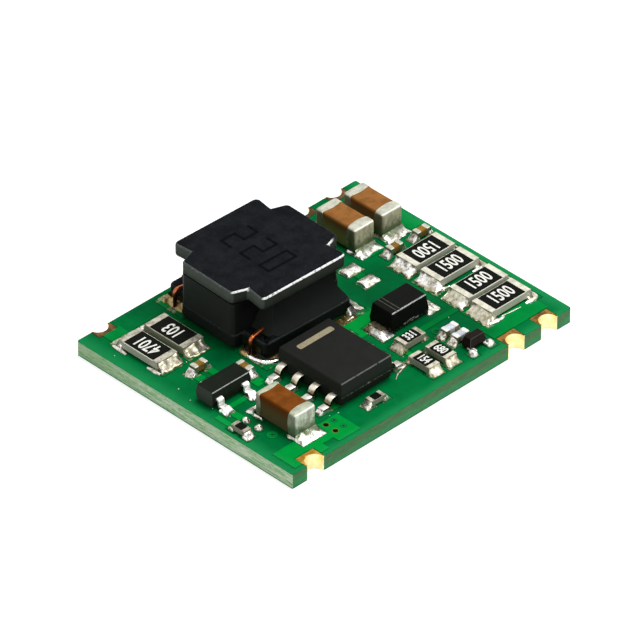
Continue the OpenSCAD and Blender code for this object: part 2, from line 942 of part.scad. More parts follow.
module lead_solder() {
    color("lightgray")
        translate([0, 0, z_pad]) {
            at_ic_leads()
                lead_joint(IC_LEAD, ic_lead_l);
            at_sot_leads(sot_at, sot_w, sot_pitch)
                lead_joint(SOT_LEAD, sot_lead_l);
            for (side = [0, 180])
                translate(diode_at)
                    rotate(side)
                        diode_joint();
            mini_joints();
        }
}

// Inductor

// Cross-shaped flange with notches at its four corners, whose sides may slant
module flange_outline(w, arm_x, slant_x, slant_y) {
    offset(r = drum_corner_r, $fn = 32)
        offset(delta = -drum_corner_r)
            for (x = [-1, 1], y = [-1, 1])
                scale([x, y])
                    polygon([
                        [0, 0], [drum_l / 2, 0], [drum_l / 2, drum_arm_y / 2 - slant_y],
                        [arm_x / 2 - slant_x, drum_arm_y / 2 + slant_y],
                        [arm_x / 2, w / 2], [0, w / 2]
                    ]);
}

module inductor_core() {
    color("darkslategray")
        put(drum_at, drum_turn, z_drum) {
            linear_extrude(base_flange_t)
                flange_outline(drum_base_w, base_arm_x, 0, 0);
            translate([0, 0, base_flange_t])
                cylinder(h = winding_gap, r = post_r);
            translate([0, 0, drum_h - top_flange_t])
                linear_extrude(top_flange_t)
                    flange_outline(drum_top_w, drum_arm_x, notch_slant_x, notch_slant_y);
        }
}

// Wound layers, drawn as one ring whose outside shows the rounds of the wire
module winding_ring() {
    translate([0, 0, z_winding])
        rotate_extrude($fn = 96)
            difference() {
                translate([post_r, 0])
                    square([winding_r - post_r, winding_gap]);
                for (turn = [0 : coil_turns])
                    translate([winding_r + wire_d / 4, turn * turn_pitch])
                        circle(groove_r, $fn = 24);
            }
}

// Tail of the wire: out over the lower flange, round a bend and down into its notch
module winding_tail() {
    rotate(tail_angle)
        translate([-tail_x, -tail_y, tail_z - tail_turn_r]) {
            translate([tail_turn_r, 0, tail_turn_r])
                rotate([0, 90, 0])
                    cylinder(h = tail_x - tail_turn_r, d = wire_d, $fn = 24);
            translate([tail_turn_r, 0, 0])
                rotate([90, 0, 180])
                    rotate_extrude(angle = 90, $fn = 48)
                        translate([tail_turn_r, 0])
                            circle(d = wire_d, $fn = 24);
            translate([0, 0, z_seat - tail_z + tail_turn_r])
                cylinder(h = tail_z - tail_turn_r - z_seat, d = wire_d, $fn = 24);
        }
}

module inductor_winding() {
    color("chocolate")
        put(drum_at, drum_turn) {
            winding_ring();
            winding_tail();
            mirror([0, 1, 0])
                winding_tail();
        }
}

// Foot whose face sweeps out from a wall at x = 0 to an edge
module sweep_foot() {
    difference() {
        square([waist_depth, waist_z]);
        translate([waist_r, waist_z])
            circle(waist_r, $fn = 96);
    }
}

// Upright outline of the resin between two edges of the lower flange
module waist_profile(low, high) {
    intersection() {
        rect(low, 0, high, winding_gap);
        union() {
            rect(low + waist_depth, 0, high - waist_depth, winding_gap);
            translate([high - waist_depth, 0])
                sweep_foot();
            translate([low + waist_depth, 0])
                mirror([1, 0])
                    sweep_foot();
        }
    }
}

module inductor_resin() {
    tail_end = resin_tail_gap - base_arm_x / 2;
    far_end = base_arm_x / 2 - resin_lip;
    half_w = drum_base_w / 2 - resin_lip;
    color("black")
        difference() {
            put(drum_at, drum_turn, z_winding) {
                linear_extrude(winding_gap)
                    rounded_plate(drum_l - 2 * resin_inset, drum_arm_y - 2 * resin_inset, drum_corner_r);
                intersection() {
                    across(drum_base_w)
                        waist_profile(tail_end, far_end);
                    rotate(90)
                        across(drum_l)
                            waist_profile(-half_w, half_w);
                    translate([(tail_end + far_end) / 2, 0, 0])
                        linear_extrude(winding_gap)
                            rounded_plate(far_end - tail_end, 2 * half_w, resin_corner_r);
                }
            }
            put(drum_at, drum_turn, z_winding - slack)
                cylinder(h = winding_gap + 2 * slack, r = post_r);
            inductor_winding();
        }
}

module inductor_electrodes() {
    half = base_arm_x / 2;
    color("silver")
        for (turn = [0, 180])
            put(drum_at, drum_turn + turn, z_seat)
                translate([0, drum_base_w / 2 - electrode_w + electrode_l / 2, 0])
                    across(electrode_l)
                        difference() {
                            rect(-half - electrode_t, 0, half + electrode_t, electrode_tab_h);
                            rect(-half, electrode_t, half, electrode_tab_h + slack);
                        }
}

module inductor_solder() {
    color("lightgray")
        difference() {
            for (turn = [0, 180], end = [0, 180])
                put(drum_at, drum_turn + turn, z_pad)
                    translate([0, drum_base_w / 2 - electrode_w + electrode_l / 2, 0])
                        rotate(end)
                            translate([base_arm_x / 2 + electrode_t, 0, 0])
                                fillet(
                                    electrode_w, drum_pad_end - electrode_t,
                                    drum_wetting * electrode_tab_h, electrode_l, electrode_l + drum_pad_in
                                );
            inductor_winding();
        }
}

module bare_pad_solder() {
    color("lightgray") {
        for (p = BARE_PADS)
            put(place(p), 0, z_pad)
                dome(bare_pad_l, bare_pad_w, bare_dome_h);
        for (p = DOT_PADS)
            put(place(p), 0, z_pad)
                dome(2 * dot_pad_r, 2 * dot_pad_r, dot_pad_r);
    }
}

// Nodes

laminate();
copper_top();
copper_bottom();
mask_top();
mask_bottom();
via_barrels();
for (k = [1 : 6])
    castellation(CONTACTS[k - 1]);
inductor_core();
inductor_winding();
inductor_resin();
inductor_electrodes();
ic_body();
ic_leads();
diode_body();
diode_leads();
transistor_body();
transistor_leads();
small_transistor_body();
small_transistor_leads();
for (k = [1 : 4]) {
    chip = SENSE_RESISTORS[k - 1];
    name = str("sense_resistor_", k);
    at_chip(chip) resistor_substrate(chip[2]);
    at_chip(chip) resistor_glaze(chip[2]);
    at_chip(chip) resistor_ends(chip[2]);
}
for (k = [1 : 2]) {
    chip = LEFT_RESISTORS[k - 1];
    name = str("left_resistor_", k);
    at_chip(chip) resistor_substrate(chip[2]);
    at_chip(chip) resistor_glaze(chip[2]);
    at_chip(chip) resistor_ends(chip[2]);
}
color("saddlebrown") at_chip(LEFT_CAPACITOR) capacitor_ceramic(BIG_CAP);  // left_capacitor_ceramic
at_chip(LEFT_CAPACITOR) capacitor_ends(BIG_CAP);  // left_capacitor_ends
for (k = [1 : 2]) {
    chip = REAR_CAPACITORS[k - 1];
    name = str("rear_capacitor_", k);
    color("saddlebrown") at_chip(chip) capacitor_ceramic(BIG_CAP);
    at_chip(chip) capacitor_ends(BIG_CAP);
}
small_resistor_substrates();
small_resistor_glazes();
small_resistor_ends();
brown_capacitor_ceramics();
grey_capacitor_ceramics();
small_capacitor_ends();
inductor_solder();
chip_solder();
lead_solder();
bare_pad_solder();
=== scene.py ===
import math

import bmesh
import bpy
from mathutils import Matrix, Vector, noise


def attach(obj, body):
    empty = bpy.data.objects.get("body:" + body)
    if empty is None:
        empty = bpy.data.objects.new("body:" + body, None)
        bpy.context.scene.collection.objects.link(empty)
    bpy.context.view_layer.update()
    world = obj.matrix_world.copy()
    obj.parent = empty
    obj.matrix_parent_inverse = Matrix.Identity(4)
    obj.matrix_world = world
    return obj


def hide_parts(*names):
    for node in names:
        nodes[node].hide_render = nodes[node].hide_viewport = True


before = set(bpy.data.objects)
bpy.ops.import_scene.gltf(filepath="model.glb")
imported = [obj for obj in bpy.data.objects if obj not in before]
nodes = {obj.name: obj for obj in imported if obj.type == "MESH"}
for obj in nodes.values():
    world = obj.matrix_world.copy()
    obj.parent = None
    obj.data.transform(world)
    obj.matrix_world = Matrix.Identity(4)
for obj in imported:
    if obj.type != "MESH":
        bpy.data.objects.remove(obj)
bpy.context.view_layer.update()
MM = 0.001

# Sizes repeated from the part's source, in millimetres
Z_PAD = 0.96
FILM = 0.055
Z_SEAT = Z_PAD + FILM
PAD_MARGIN = 0.12
Z_MASK = Z_PAD + 0.025
GLAZE_PROUD = 0.01

BIG_RES = dict(l=3.05, w=1.5, h=0.48, band=0.38, wetting=0.9)
BIG_CAP = dict(l=3.1, w=1.58, h=1.56, band=0.62, wetting=0.16)
MID_RES = dict(l=1.58, w=0.8, h=0.42, band=0.26, wetting=0.9)
TINY_RES = dict(l=1.0, w=0.5, h=0.35, band=0.22, wetting=0.9)
TINY_CAP = dict(l=1.0, w=0.5, h=0.48, band=0.26, wetting=0.75)

# Chips: place, turn about Z, pad reach past the minus end and past the plus end
SENSE_PLACES = ((8.27, 0.52), (8.25, -1.36), (8.25, -3.58), (8.19, -5.36))
SENSE_RESISTORS = [(place, 0, 0.66, 0.46) for place in SENSE_PLACES]
SENSE_PAD_SIDE = 0.29
LEFT_RESISTORS = [((-8.65, 4.8), 90, 0.56, 0.56), ((-6.72, 4.8), 90, 0.56, 0.56)]
LEFT_CAPACITOR = [((-7.63, -4.75), 90, 0.68, 0.6)]
REAR_CAPACITORS = [((6.38, 4.9), 90, 0.5, 0.5), ((8.5, 4.88), 90, 0.5, 0.5)]
MID_RESISTORS = [
    ((2.1, -4.43), 0, 0.42, 0.3), ((1.13, -6.46), 90, 0.42, 0.3), ((2.4, -6.46), 90, 0.42, 0.3),
]
TINY_RESISTORS = [((-9.95, -3.75), 90, 0.38, 0.3), ((-2.97, -6.88), 0, 0.38, 0.38)]
BROWN_CAPACITORS = [
    ((-7.75, 1.8), 0, 0.38, 0.3), ((-6.1, -0.06), 90, 0.38, 0.3),
    ((7.36, 2.05), 0, 0.38, 0.3), ((9.48, 2.08), 0, 0.38, 0.3),
]
GREY_CAPACITORS = [((4.2, -5.36), 0, 0.38, 0.3), ((4.2, -6.16), 0, 0.38, 0.3)]

IC_AT, IC_W, IC_H, IC_GAP, IC_PITCH = (-2.75, -3.58), 3.9, 1.42, 0.05, 1.27
SOT_AT, SOT_W, SOT_PITCH = (-8.25, -0.63), 1.3, 0.95
MINI_AT, MINI_W = (4.43, -6.98), 0.72
DIODE_AT, DIODE_L, DIODE_H = (3.3, -2.4), 2.85, 1.24
DRUM_AT, DRUM_TURN, DRUM_BASE_W, DRUM_ARM_X, DRUM_H = (-1.29, 3.7), -1.5, 7.8, 6.25, 3.72
DRUM_BASE_STEP, ELECTRODE_T = 0.15, 0.07
Z_DRUM = Z_SEAT + ELECTRODE_T
BARE_PADS = [(4.44, 2.5), (4.4, 1.1)]
DOT_PADS = [(-9.12, -3.25), (-9.08, -4.2)]
OPEN_VIAS = [(-6.3, -6.48), (-6.3, -7.2)]
CLOSED_VIAS = [(-8.95, -5.1), (-5.7, -6.5), (-5.68, -7.2), (3.85, -4.72)]


# Materials

def srgb(r, g, b):
    """A colour given in 0 to 255, as a linear colour."""
    out = []
    for c in (r, g, b):
        c /= 255
        out.append(c / 12.92 if c <= 0.04045 else ((c + 0.055) / 1.055) ** 2.4)
    return (*out, 1.0)


def dim(color, share):
    """A share of a colour given in 0 to 255, as a linear colour."""
    return (*(c * share for c in srgb(*color)[:3]), 1)


class Tree:
    """Nodes of a material or of the world. A colour of three numbers is given in 0 to 255."""

    def __init__(self, owner):
        owner.use_nodes = True
        self.tree = owner.node_tree

    def node(self, kind):
        return self.tree.nodes.new("ShaderNode" + kind)

    def fill(self, node, inputs):
        """Links or sets a node's inputs, which are named or numbered, and gives its outputs."""
        for key, value in inputs.items():
            socket = node.inputs[key]
            if isinstance(value, bpy.types.NodeSocket):
                self.tree.links.new(value, socket)
            elif socket.type == "RGBA" and len(value) == 3:
                socket.default_value = srgb(*value)
            else:
                socket.default_value = value
        return node.outputs

    def math(self, op, a, b=0.5, clamp=False):
        n = self.node("Math")
        n.operation = op
        n.use_clamp = clamp
        return self.fill(n, {0: a, 1: b})[0]

    def times(self, a, b):
        return self.math("MULTIPLY", a, b)

    def plus(self, a, b):
        return self.math("ADD", a, b)

    def span(self, fac, low, high):
        """Takes 0 to 1 over to a range of plain numbers."""
        return self.fill(self.node("MapRange"), {"Value": fac, "To Min": low, "To Max": high})["Result"]

    def seen(self):
        """One for camera, glossy and transmission rays, and nought for the rays that light the object."""
        rays = self.node("LightPath").outputs
        total = self.math("MAXIMUM", rays["Is Camera Ray"], rays["Is Glossy Ray"])
        return self.math("MAXIMUM", total, rays["Is Transmission Ray"])


class Look(Tree):
    """A procedural material in the part's own millimetres."""

    def __init__(self, name, color, rough=0.5, metal=0.0, spec=0.5):
        self.mat = bpy.data.materials.new(name)
        super().__init__(self.mat)
        self.surface = self.tree.nodes["Principled BSDF"]
        self.fill(self.surface, {
            "Base Color": color, "Roughness": rough, "Metallic": metal, "Specular IOR Level": spec,
        })
        scaled = self.node("VectorMath")
        scaled.operation = "SCALE"
        self.mm = self.fill(scaled, {0: self.node("TexCoord").outputs["Object"], "Scale": 1 / MM})["Vector"]

    def axis(self, name):
        return self.fill(self.node("SeparateXYZ"), {0: self.mm})[name]

    def normal(self, name, kind="True Normal"):
        geometry = self.node("NewGeometry")
        return self.fill(self.node("SeparateXYZ"), {0: geometry.outputs[kind]})[name]

    def noise(self, scale, detail=4, rough=0.55, stretch=(1, 1, 1)):
        n = self.node("VectorMath")
        n.operation = "MULTIPLY"
        spot = self.fill(n, {0: self.mm, 1: stretch})["Vector"]
        inputs = {"Vector": spot, "Scale": scale, "Detail": detail, "Roughness": rough}
        return self.fill(self.node("TexNoise"), inputs)["Fac"]

    def grains(self, scale):
        return self.fill(self.node("TexVoronoi"), {"Vector": self.mm, "Scale": scale})["Distance"]

    def step(self, value, low, high):
        n = self.node("MapRange")
        n.interpolation_type = "SMOOTHSTEP"
        return self.fill(n, {"Value": value, "From Min": low, "From Max": high})["Result"]

    def along(self, name, low, high):
        """Rises along an axis of the part."""
        return self.step(self.axis(name), low, high)

    def facing(self, name, low, high, kind="True Normal"):
        """Rises with the share of the normal along an axis."""
        return self.step(self.normal(name, kind), low, high)

    def band(self, value, low, high, soft):
        up = self.step(value, low - soft, low + soft)
        down = self.step(value, high - soft, high + soft)
        return self.math("SUBTRACT", up, down, True)

    def mix(self, fac, a, b, share=None):
        """Goes over from one colour to another, or only a share of the way."""
        fac = fac if share is None else self.times(fac, share)
        n = self.node("Mix")
        n.data_type = "RGBA"
        return self.fill(n, {"Factor": fac, 6: a, 7: b})[2]

    def spots(self, low, high, *grain):
        """Rises in patches of noise."""
        return self.step(self.noise(*grain), low, high)

    def stray(self, value, share, *grain):
        """A value with a share of noise added."""
        return self.plus(value, self.times(self.noise(*grain), share))

    def done(self, tone, grain, rough, dents, micron, strength):
        """Sets the colour, a roughness that varies with one noise, and a bump of some microns."""
        self.fill(self.surface, {"Base Color": tone})
        if grain:
            self.fill(self.surface, {"Roughness": self.span(self.noise(*grain), *rough)})
        height = self.noise(*dents) if isinstance(dents, tuple) else dents
        n = self.node("Bump")
        bump = self.fill(n, {"Strength": strength, "Distance": micron * 1e-6, "Height": height})
        self.fill(self.surface, {"Normal": bump["Normal"]})
        return self.mat


# Painted shadows on the mask beside the inductor and the parts near it: span in X, span in Y and strength
# of each
MASK_PAINTED_SHADOWS = (
    ((-6.8, -4.0), (6.4, 9.0), 0.35), ((-7.2, -5.2), (1.0, 2.6), 0.45),
    ((2.6, 6.4), (-1.0, 2.2), 0.4), ((2.6, 6.4), (-7.2, -2.2), 0.4),
)


def mask_look(name, bare, over, z_step):
    """Green mask in soft clouds: darker on bare laminate, lighter where it steps up over copper."""
    m = Look(name, over, 0.3, spec=0.012)
    cloth = m.noise(1.6, 5, 0.6)
    dark = m.mix(m.step(cloth, 0.3, 0.7), bare, dim(bare, 1.22))
    light = m.mix(m.step(cloth, 0.3, 0.7), over, dim(over, 1.12))
    lift = m.along("Z", z_step, z_step + 0.016)
    far = m.math("MAXIMUM", m.along("Y", -1, 4), m.along("X", 2, 5))
    light = m.mix(far, light, dark, 0.5)
    tone = m.mix(lift, dark, light)
    # Painted shadow: the mask is darkened over each of these patches
    for (x0, x1), (y0, y1), depth in MASK_PAINTED_SHADOWS:
        patch = m.times(m.band(m.axis("X"), x0, x1, 0.8), m.band(m.axis("Y"), y0, y1, 0.8))
        tone = m.mix(patch, tone, (0, 52, 30), depth)
    rim = m.math("MAXIMUM", m.step(m.math("ABSOLUTE", m.axis("X")), 9.5, 10.6), m.along("Y", -7.6, -8.3))
    tone = m.mix(rim, tone, (40, 158, 92), 0.4)
    return m.done(tone, (9, 3), (0.24, 0.4), (9, 3), 4, 0.3)


def laminate_look():
    """Cut edge of glass cloth: pale broken fibres at the short ends, green layers at the long edges."""
    m = Look("laminate_edge", (120, 130, 90), 0.7, spec=0.12)
    strands = m.noise(2.2, 5, 0.7, (0.55, 0.55, 6.0))
    flecks = m.noise(9, 4, 0.7, (0.5, 0.5, 2.2))
    drift = m.noise(0.35, 3, 0.5)
    threads = m.noise(2.4, 5, 0.8, (0.45, 0.45, 3.6))
    pale = m.mix(m.step(threads, 0.38, 0.6), (150, 214, 144), (240, 255, 226))
    pale = m.mix(m.along("Y", 1, 8), pale, (122, 178, 112), 0.45)
    pale = m.mix(m.spots(0.56, 0.66, 2.6, 4, 0.7, (0.35, 0.35, 7.0)), pale, (138, 160, 108))
    # Lighter band along the top of the cut edge: frayed fibres, and a painted highlight
    fringe_and_highlight = m.step(m.plus(m.axis("Z"), m.times(flecks, 0.5)), 0.98, 1.16)
    pale = m.mix(fringe_and_highlight, pale, (168, 222, 172), 0.5)
    # Painted light along the foot of the cut edge
    foot = m.step(m.plus(m.axis("Z"), m.times(strands, 0.5)), 0.56, 0.36)
    pale = m.mix(foot, pale, (160, 232, 166), 0.4)
    pale = m.mix(m.step(flecks, 0.58, 0.7), pale, (244, 255, 236))
    brown = m.mix(m.step(strands, 0.3, 0.72), (78, 122, 80), (102, 144, 98))
    green = m.mix(m.step(strands, 0.3, 0.72), (56, 148, 90), (84, 170, 112))
    layer = m.plus(m.times(m.axis("Z"), 0.9), m.times(drift, 1.2))
    olive = m.mix(m.step(m.plus(layer, m.times(strands, 0.6)), 1.05, 1.5), green, brown)
    olive = m.mix(m.step(flecks, 0.62, 0.76), olive, (168, 192, 152))
    end = m.step(m.math("ABSOLUTE", m.normal("X")), 0.45, 0.75)
    cut = m.mix(end, olive, pale)
    cut = m.mix(m.facing("Z", 0.5, 0.8), cut, (0, 88, 44))
    return m.done(cut, None, None, m.plus(strands, flecks), 25, 0.7)


def gold_look():
    """Thin gold: half holes painted pale as lit, lands deeper, and painted shade that dulls the lands to
    the right and behind.
    """
    m = Look("gold_flash", (236, 196, 112), 0.3, 0.75)
    patch = m.noise(2.6, 4, 0.6)
    # Painted highlight: the walls of the half holes are paler than the lands
    wall = m.mix(m.step(patch, 0.35, 0.7), (250, 232, 160), (255, 247, 200))
    bright = m.mix(m.step(patch, 0.38, 0.66), (158, 110, 28), (222, 168, 60))
    dull = m.mix(m.step(patch, 0.4, 0.68), (94, 60, 18), (164, 116, 42))
    # Painted shade: the lands duller to the right, and darker behind where they are seen at a graze
    land = m.mix(m.along("X", -3, 3), bright, dull)
    rear = m.along("Y", -1, 1)
    land = m.mix(rear, land, m.mix(m.step(patch, 0.4, 0.65), (74, 50, 16), (124, 88, 34)))
    # Painted shade on the rear walls that turn away
    rear_wall_shade = m.times(rear, m.facing("Y", 0.45, 0.15))
    wall = m.mix(rear_wall_shade, wall, (112, 76, 28))
    tone = m.mix(m.step(m.math("ABSOLUTE", m.normal("Z")), 0.6, 0.9), wall, land)
    return m.done(tone, (11, 3), (0.24, 0.44), (14, 3), 6, 0.5)


def metal_look(name, low, high, rough, bump, scale=4.0, metal=1.0, pit=0.16):
    """Bare metal with uneven tone and fine pits."""
    m = Look(name, high, rough, metal, 0.3 if metal > 0.5 else 0.1)
    patch = m.noise(scale, 5, 0.62)
    tone = m.mix(m.step(patch, 0.32, 0.62), low, high)
    pits = m.step(m.grains(9), 0.0, pit)
    tone = m.mix(pits, dim(low, 0.35), tone)
    return m.done(tone, (scale * 2.5, 4), (rough * 0.55, rough * 1.7), (scale * 1.6, 4, 0.6), bump, 0.8)


def pad_look():
    """Rims of the pads: tin dulled by flux, with a thin bleed of mask over most of it."""
    m = Look("pad_tin", (120, 116, 84), 0.4, spec=0.02)
    tin = m.mix(m.spots(0.32, 0.62, 4, 5, 0.62), (96, 104, 70), (168, 166, 134))
    bleed = m.mix(m.noise(3, 4), (0, 96, 46), (6, 124, 58))
    tone = m.mix(m.spots(0.54, 0.64, 1.7, 4, 0.6), bleed, tin)
    return m.done(tone, (9, 3), (0.26, 0.46), (8, 3), 6, 0.6)


def lead_look():
    """Tinned leads: painted light that makes them cream where they face up and beige where they turn down,
    a band of painted shade at the heel, white feet, and flanks in the shade.
    """
    m = Look("lead_tin", (226, 214, 184), 0.3, 0.6, 0.2)
    blotch = m.spots(0.35, 0.65, 5, 4)
    cream = m.mix(blotch, (232, 222, 196), (252, 246, 230))
    beige = m.mix(blotch, (168, 150, 108), (214, 198, 158))
    white = m.mix(blotch, (222, 220, 212), (255, 255, 252))
    # Painted light: cream where the lead faces up, beige where it turns down
    tone = m.mix(m.facing("Z", 0.3, 0.62, "Normal"), beige, cream)
    # Painted shade: a dark band at the heel
    tone = m.mix(m.band(m.axis("Z"), Z_SEAT + 0.2, Z_SEAT + 0.32, 0.04), tone, (44, 38, 24))
    tone = m.mix(m.along("Z", Z_SEAT + 0.22, Z_SEAT + 0.18), tone, white)
    flank = m.mix(m.along("Z", Z_SEAT + 0.24, Z_SEAT + 0.12), (16, 17, 13), (120, 116, 100))
    tone = m.mix(m.step(m.math("ABSOLUTE", m.normal("Y", "Normal")), 0.6, 0.85), tone, flank)
    return m.done(tone, (12, 3), (0.24, 0.46), (10, 3), 5, 0.6)


def cap_look(name, top, face, low):
    """Dipped ends: speckled metal on top, a painted highlight on the rounded front edge, and a mottled face
    that painted shade and a painted green reflection of the board darken downwards and on the left.
    """
    m = Look(name, face, 0.5, 0.12, 0.1)
    cloud = m.spots(0.32, 0.66, 3.0, 5, 0.65)
    upper = m.mix(cloud, dim(top, 0.72), top)
    upper = m.mix(m.spots(0.6, 0.68, 7, 3, 0.7), upper, low, 0.6)
    # Painted shade and a painted reflection of the board: the face darkens downwards to the low colour
    fall = m.stray(m.along("Z", Z_SEAT + 1.5, Z_SEAT + 0.1), 0.7, 1.9, 4, 0.6)
    streak = m.spots(0.36, 0.64, 3.2, 5, 0.7, (1, 1, 0.45))
    front = m.mix(streak, dim(face, 0.6), dim(face, 1.12))
    front = m.mix(m.step(fall, 0.75, 1.5), front, low)
    # Painted shade in dark patches low on the face
    shade_blots = m.times(m.spots(0.5, 0.62, 2.4, 4, 0.65), m.along("Z", Z_SEAT + 1.3, Z_SEAT + 0.6))
    shade = dim(low, 0.5)
    front = m.mix(shade_blots, front, shade, 0.7)
    flat = m.normal("Z", "Normal")
    # Painted shade on faces that turn to the left
    front = m.mix(m.facing("X", -0.55, -0.85, "Normal"), front, shade, 0.75)
    base = m.stray(m.axis("Z"), -0.9, 2.2, 4, 0.6)
    # Painted green reflection of the board along the foot
    front = m.mix(m.step(base, Z_SEAT + 0.3, Z_SEAT - 0.1), front, (64, 100, 58), 0.6)
    streaks = m.times(m.spots(0.56, 0.68, 1.5, 4, 0.6, (1, 1, 0.6)), 0.55)
    front = m.mix(streaks, front, (186, 170, 136))
    tone = m.mix(m.step(flat, 0.4, 0.75), front, upper)
    # Painted highlight along the rounded front edges
    rim = m.times(m.band(flat, 0.5, 0.84, 0.1), m.facing("Y", -0.2, -0.45, "Normal"))
    return m.done(m.mix(rim, tone, (250, 250, 242)), (8, 4), (0.3, 0.7), (5, 4, 0.6), 9, 0.8)


def solder_look(name, flux, shade=0.0, shade_and_flux_from=None):
    """Solder: white with grey patches of painted reflection and small pits, and dull with flux where it
    thins out on its pad.

    shade is the strength of painted shade where it climbs. Beyond the Y given last, flux covers the solder,
    and painted shade darkens the diode's leads.
    """
    m = Look(name, (250, 249, 244), 0.2, 0.85, 0.2)
    patch = m.noise(3.6, 5, 0.66)
    # Painted reflection: the grey patches stand for dark surroundings mirrored in the solder
    bright = m.mix(m.step(patch, 0.36, 0.56), (150, 142, 128), (254, 253, 250))
    dull = m.mix(m.spots(0.35, 0.65, 2.6, 4), (120, 112, 78), (196, 188, 158))
    low = m.times(m.along("Z", Z_PAD + 0.16, Z_PAD + 0.05), flux)
    tone = m.mix(low, bright, dull)
    resin = m.mix(m.spots(0.35, 0.65, 4, 4), (152, 145, 112), (214, 209, 184))
    amber = m.times(m.spots(0.38, 0.52, 0.85, 3), 0.9 * flux)
    tone = m.mix(amber, tone, resin)
    if shade:
        # Painted shade where the solder climbs towards the part
        climb = m.stray(m.axis("Z"), 0.12, 3, 4)
        tone = m.mix(m.step(climb, Z_PAD + 0.13, Z_PAD + 0.26), tone, (86, 100, 62), shade)
    if shade_and_flux_from is not None:
        # Beyond the given Y: flux on the solder, and painted shade on the diode's leads near its body
        spread = m.stray(m.axis("Y"), 0.6, 3, 4)
        crust_and_shade = m.mix(m.spots(0.32, 0.54, 5, 4, 0.7), (40, 37, 21), (178, 167, 130))
        tone = m.mix(m.step(spread, shade_and_flux_from + 0.1, shade_and_flux_from + 0.6), tone, crust_and_shade)
    pits = m.step(m.grains(7), 0.02, 0.17 - 0.06 * flux)
    return m.done(m.mix(pits, (66, 62, 50), tone), (9, 4), (0.1, 0.34), (6.4, 4, 0.6), 5, 0.8)


def flux_look():
    """Dried flux: olive brown, glossy and uneven."""
    m = Look("dried_flux", (70, 60, 26), 0.25, spec=0.12)
    tone = m.mix(m.spots(0.3, 0.7, 2.6, 4, 0.6), (30, 34, 14), (112, 92, 44))
    tone = m.mix(m.step(m.grains(5), 0.08, 0.2), (186, 176, 140), tone)
    tone = m.mix(m.along("Z", Z_PAD + 0.07, Z_PAD + 0.14), tone, (16, 17, 11))
    return m.done(tone, (8, 3), (0.15, 0.4), (7, 4), 12, 0.8)


def ferrite_look():
    """Ground ferrite: bluish black with grey specks, sides painted paler as lit, and pale chips with
    painted highlights along the edges.
    """
    m = Look("ferrite", (18, 20, 23), 0.5, spec=0.02)
    specks = m.spots(0.66, 0.74, 16, 2, 0.8)
    top = m.mix(m.spots(0.3, 0.7, 1.4, 5, 0.7), (11, 14, 16), (26, 28, 31))
    # Painted light on the sides: paler than the top, most on the left
    left_side_light = m.mix(m.noise(2.2, 4), (76, 83, 77), (100, 107, 100))
    front_side_light = m.mix(m.noise(2.2, 4), (44, 49, 45), (62, 66, 60))
    left = m.facing("X", -0.4, -0.8)
    side = m.mix(left, front_side_light, left_side_light)
    # Painted shade: the sides darken towards the underside of the upper flange
    side = m.mix(m.along("Z", 3.95, 4.5), m.mix(left, (34, 37, 34), (62, 67, 62)), side)
    upper = m.along("Z", 2.4, 2.8)
    # Darker on the lower flange, with painted light on its left side
    side = m.mix(upper, m.mix(left, (20, 24, 21), (32, 37, 33)), side)
    body = m.mix(m.step(m.math("ABSOLUTE", m.normal("Z")), 0.35, 0.7), side, top)
    body = m.mix(specks, body, (104, 108, 116), 0.4)
    edge = m.band(m.normal("Z"), 0.46, 0.93, 0.05)
    chips = m.spots(0.38, 0.5, 5.5, 5, 0.85)
    crumbs = m.spots(0.6, 0.68, 9, 4, 0.85)
    front = m.times(m.facing("Y", -0.25, -0.5), m.along("X", 2.3, 1.8))
    # Painted highlight in a band along the left edges, and painted shade on edges that do not face left
    soft = m.mix(crumbs, (82, 87, 84), (214, 216, 214))
    soft = m.mix(m.facing("X", 0.0, -0.3), (36, 39, 40), soft)
    # Pale chips with painted highlights, strongest along the front top edges
    chips_and_glint = m.mix(chips, (66, 68, 68), (246, 247, 246))
    chips_and_glint = m.mix(front, soft, chips_and_glint)
    # Painted glints on the edges of the lower flange
    base_glints = m.mix(crumbs, (44, 48, 46), (170, 174, 172), 0.6)
    tone = m.mix(edge, body, m.mix(upper, base_glints, chips_and_glint))
    return m.done(tone, (12, 3), (0.4, 0.64), (26, 3, 0.7), 9, 0.6)


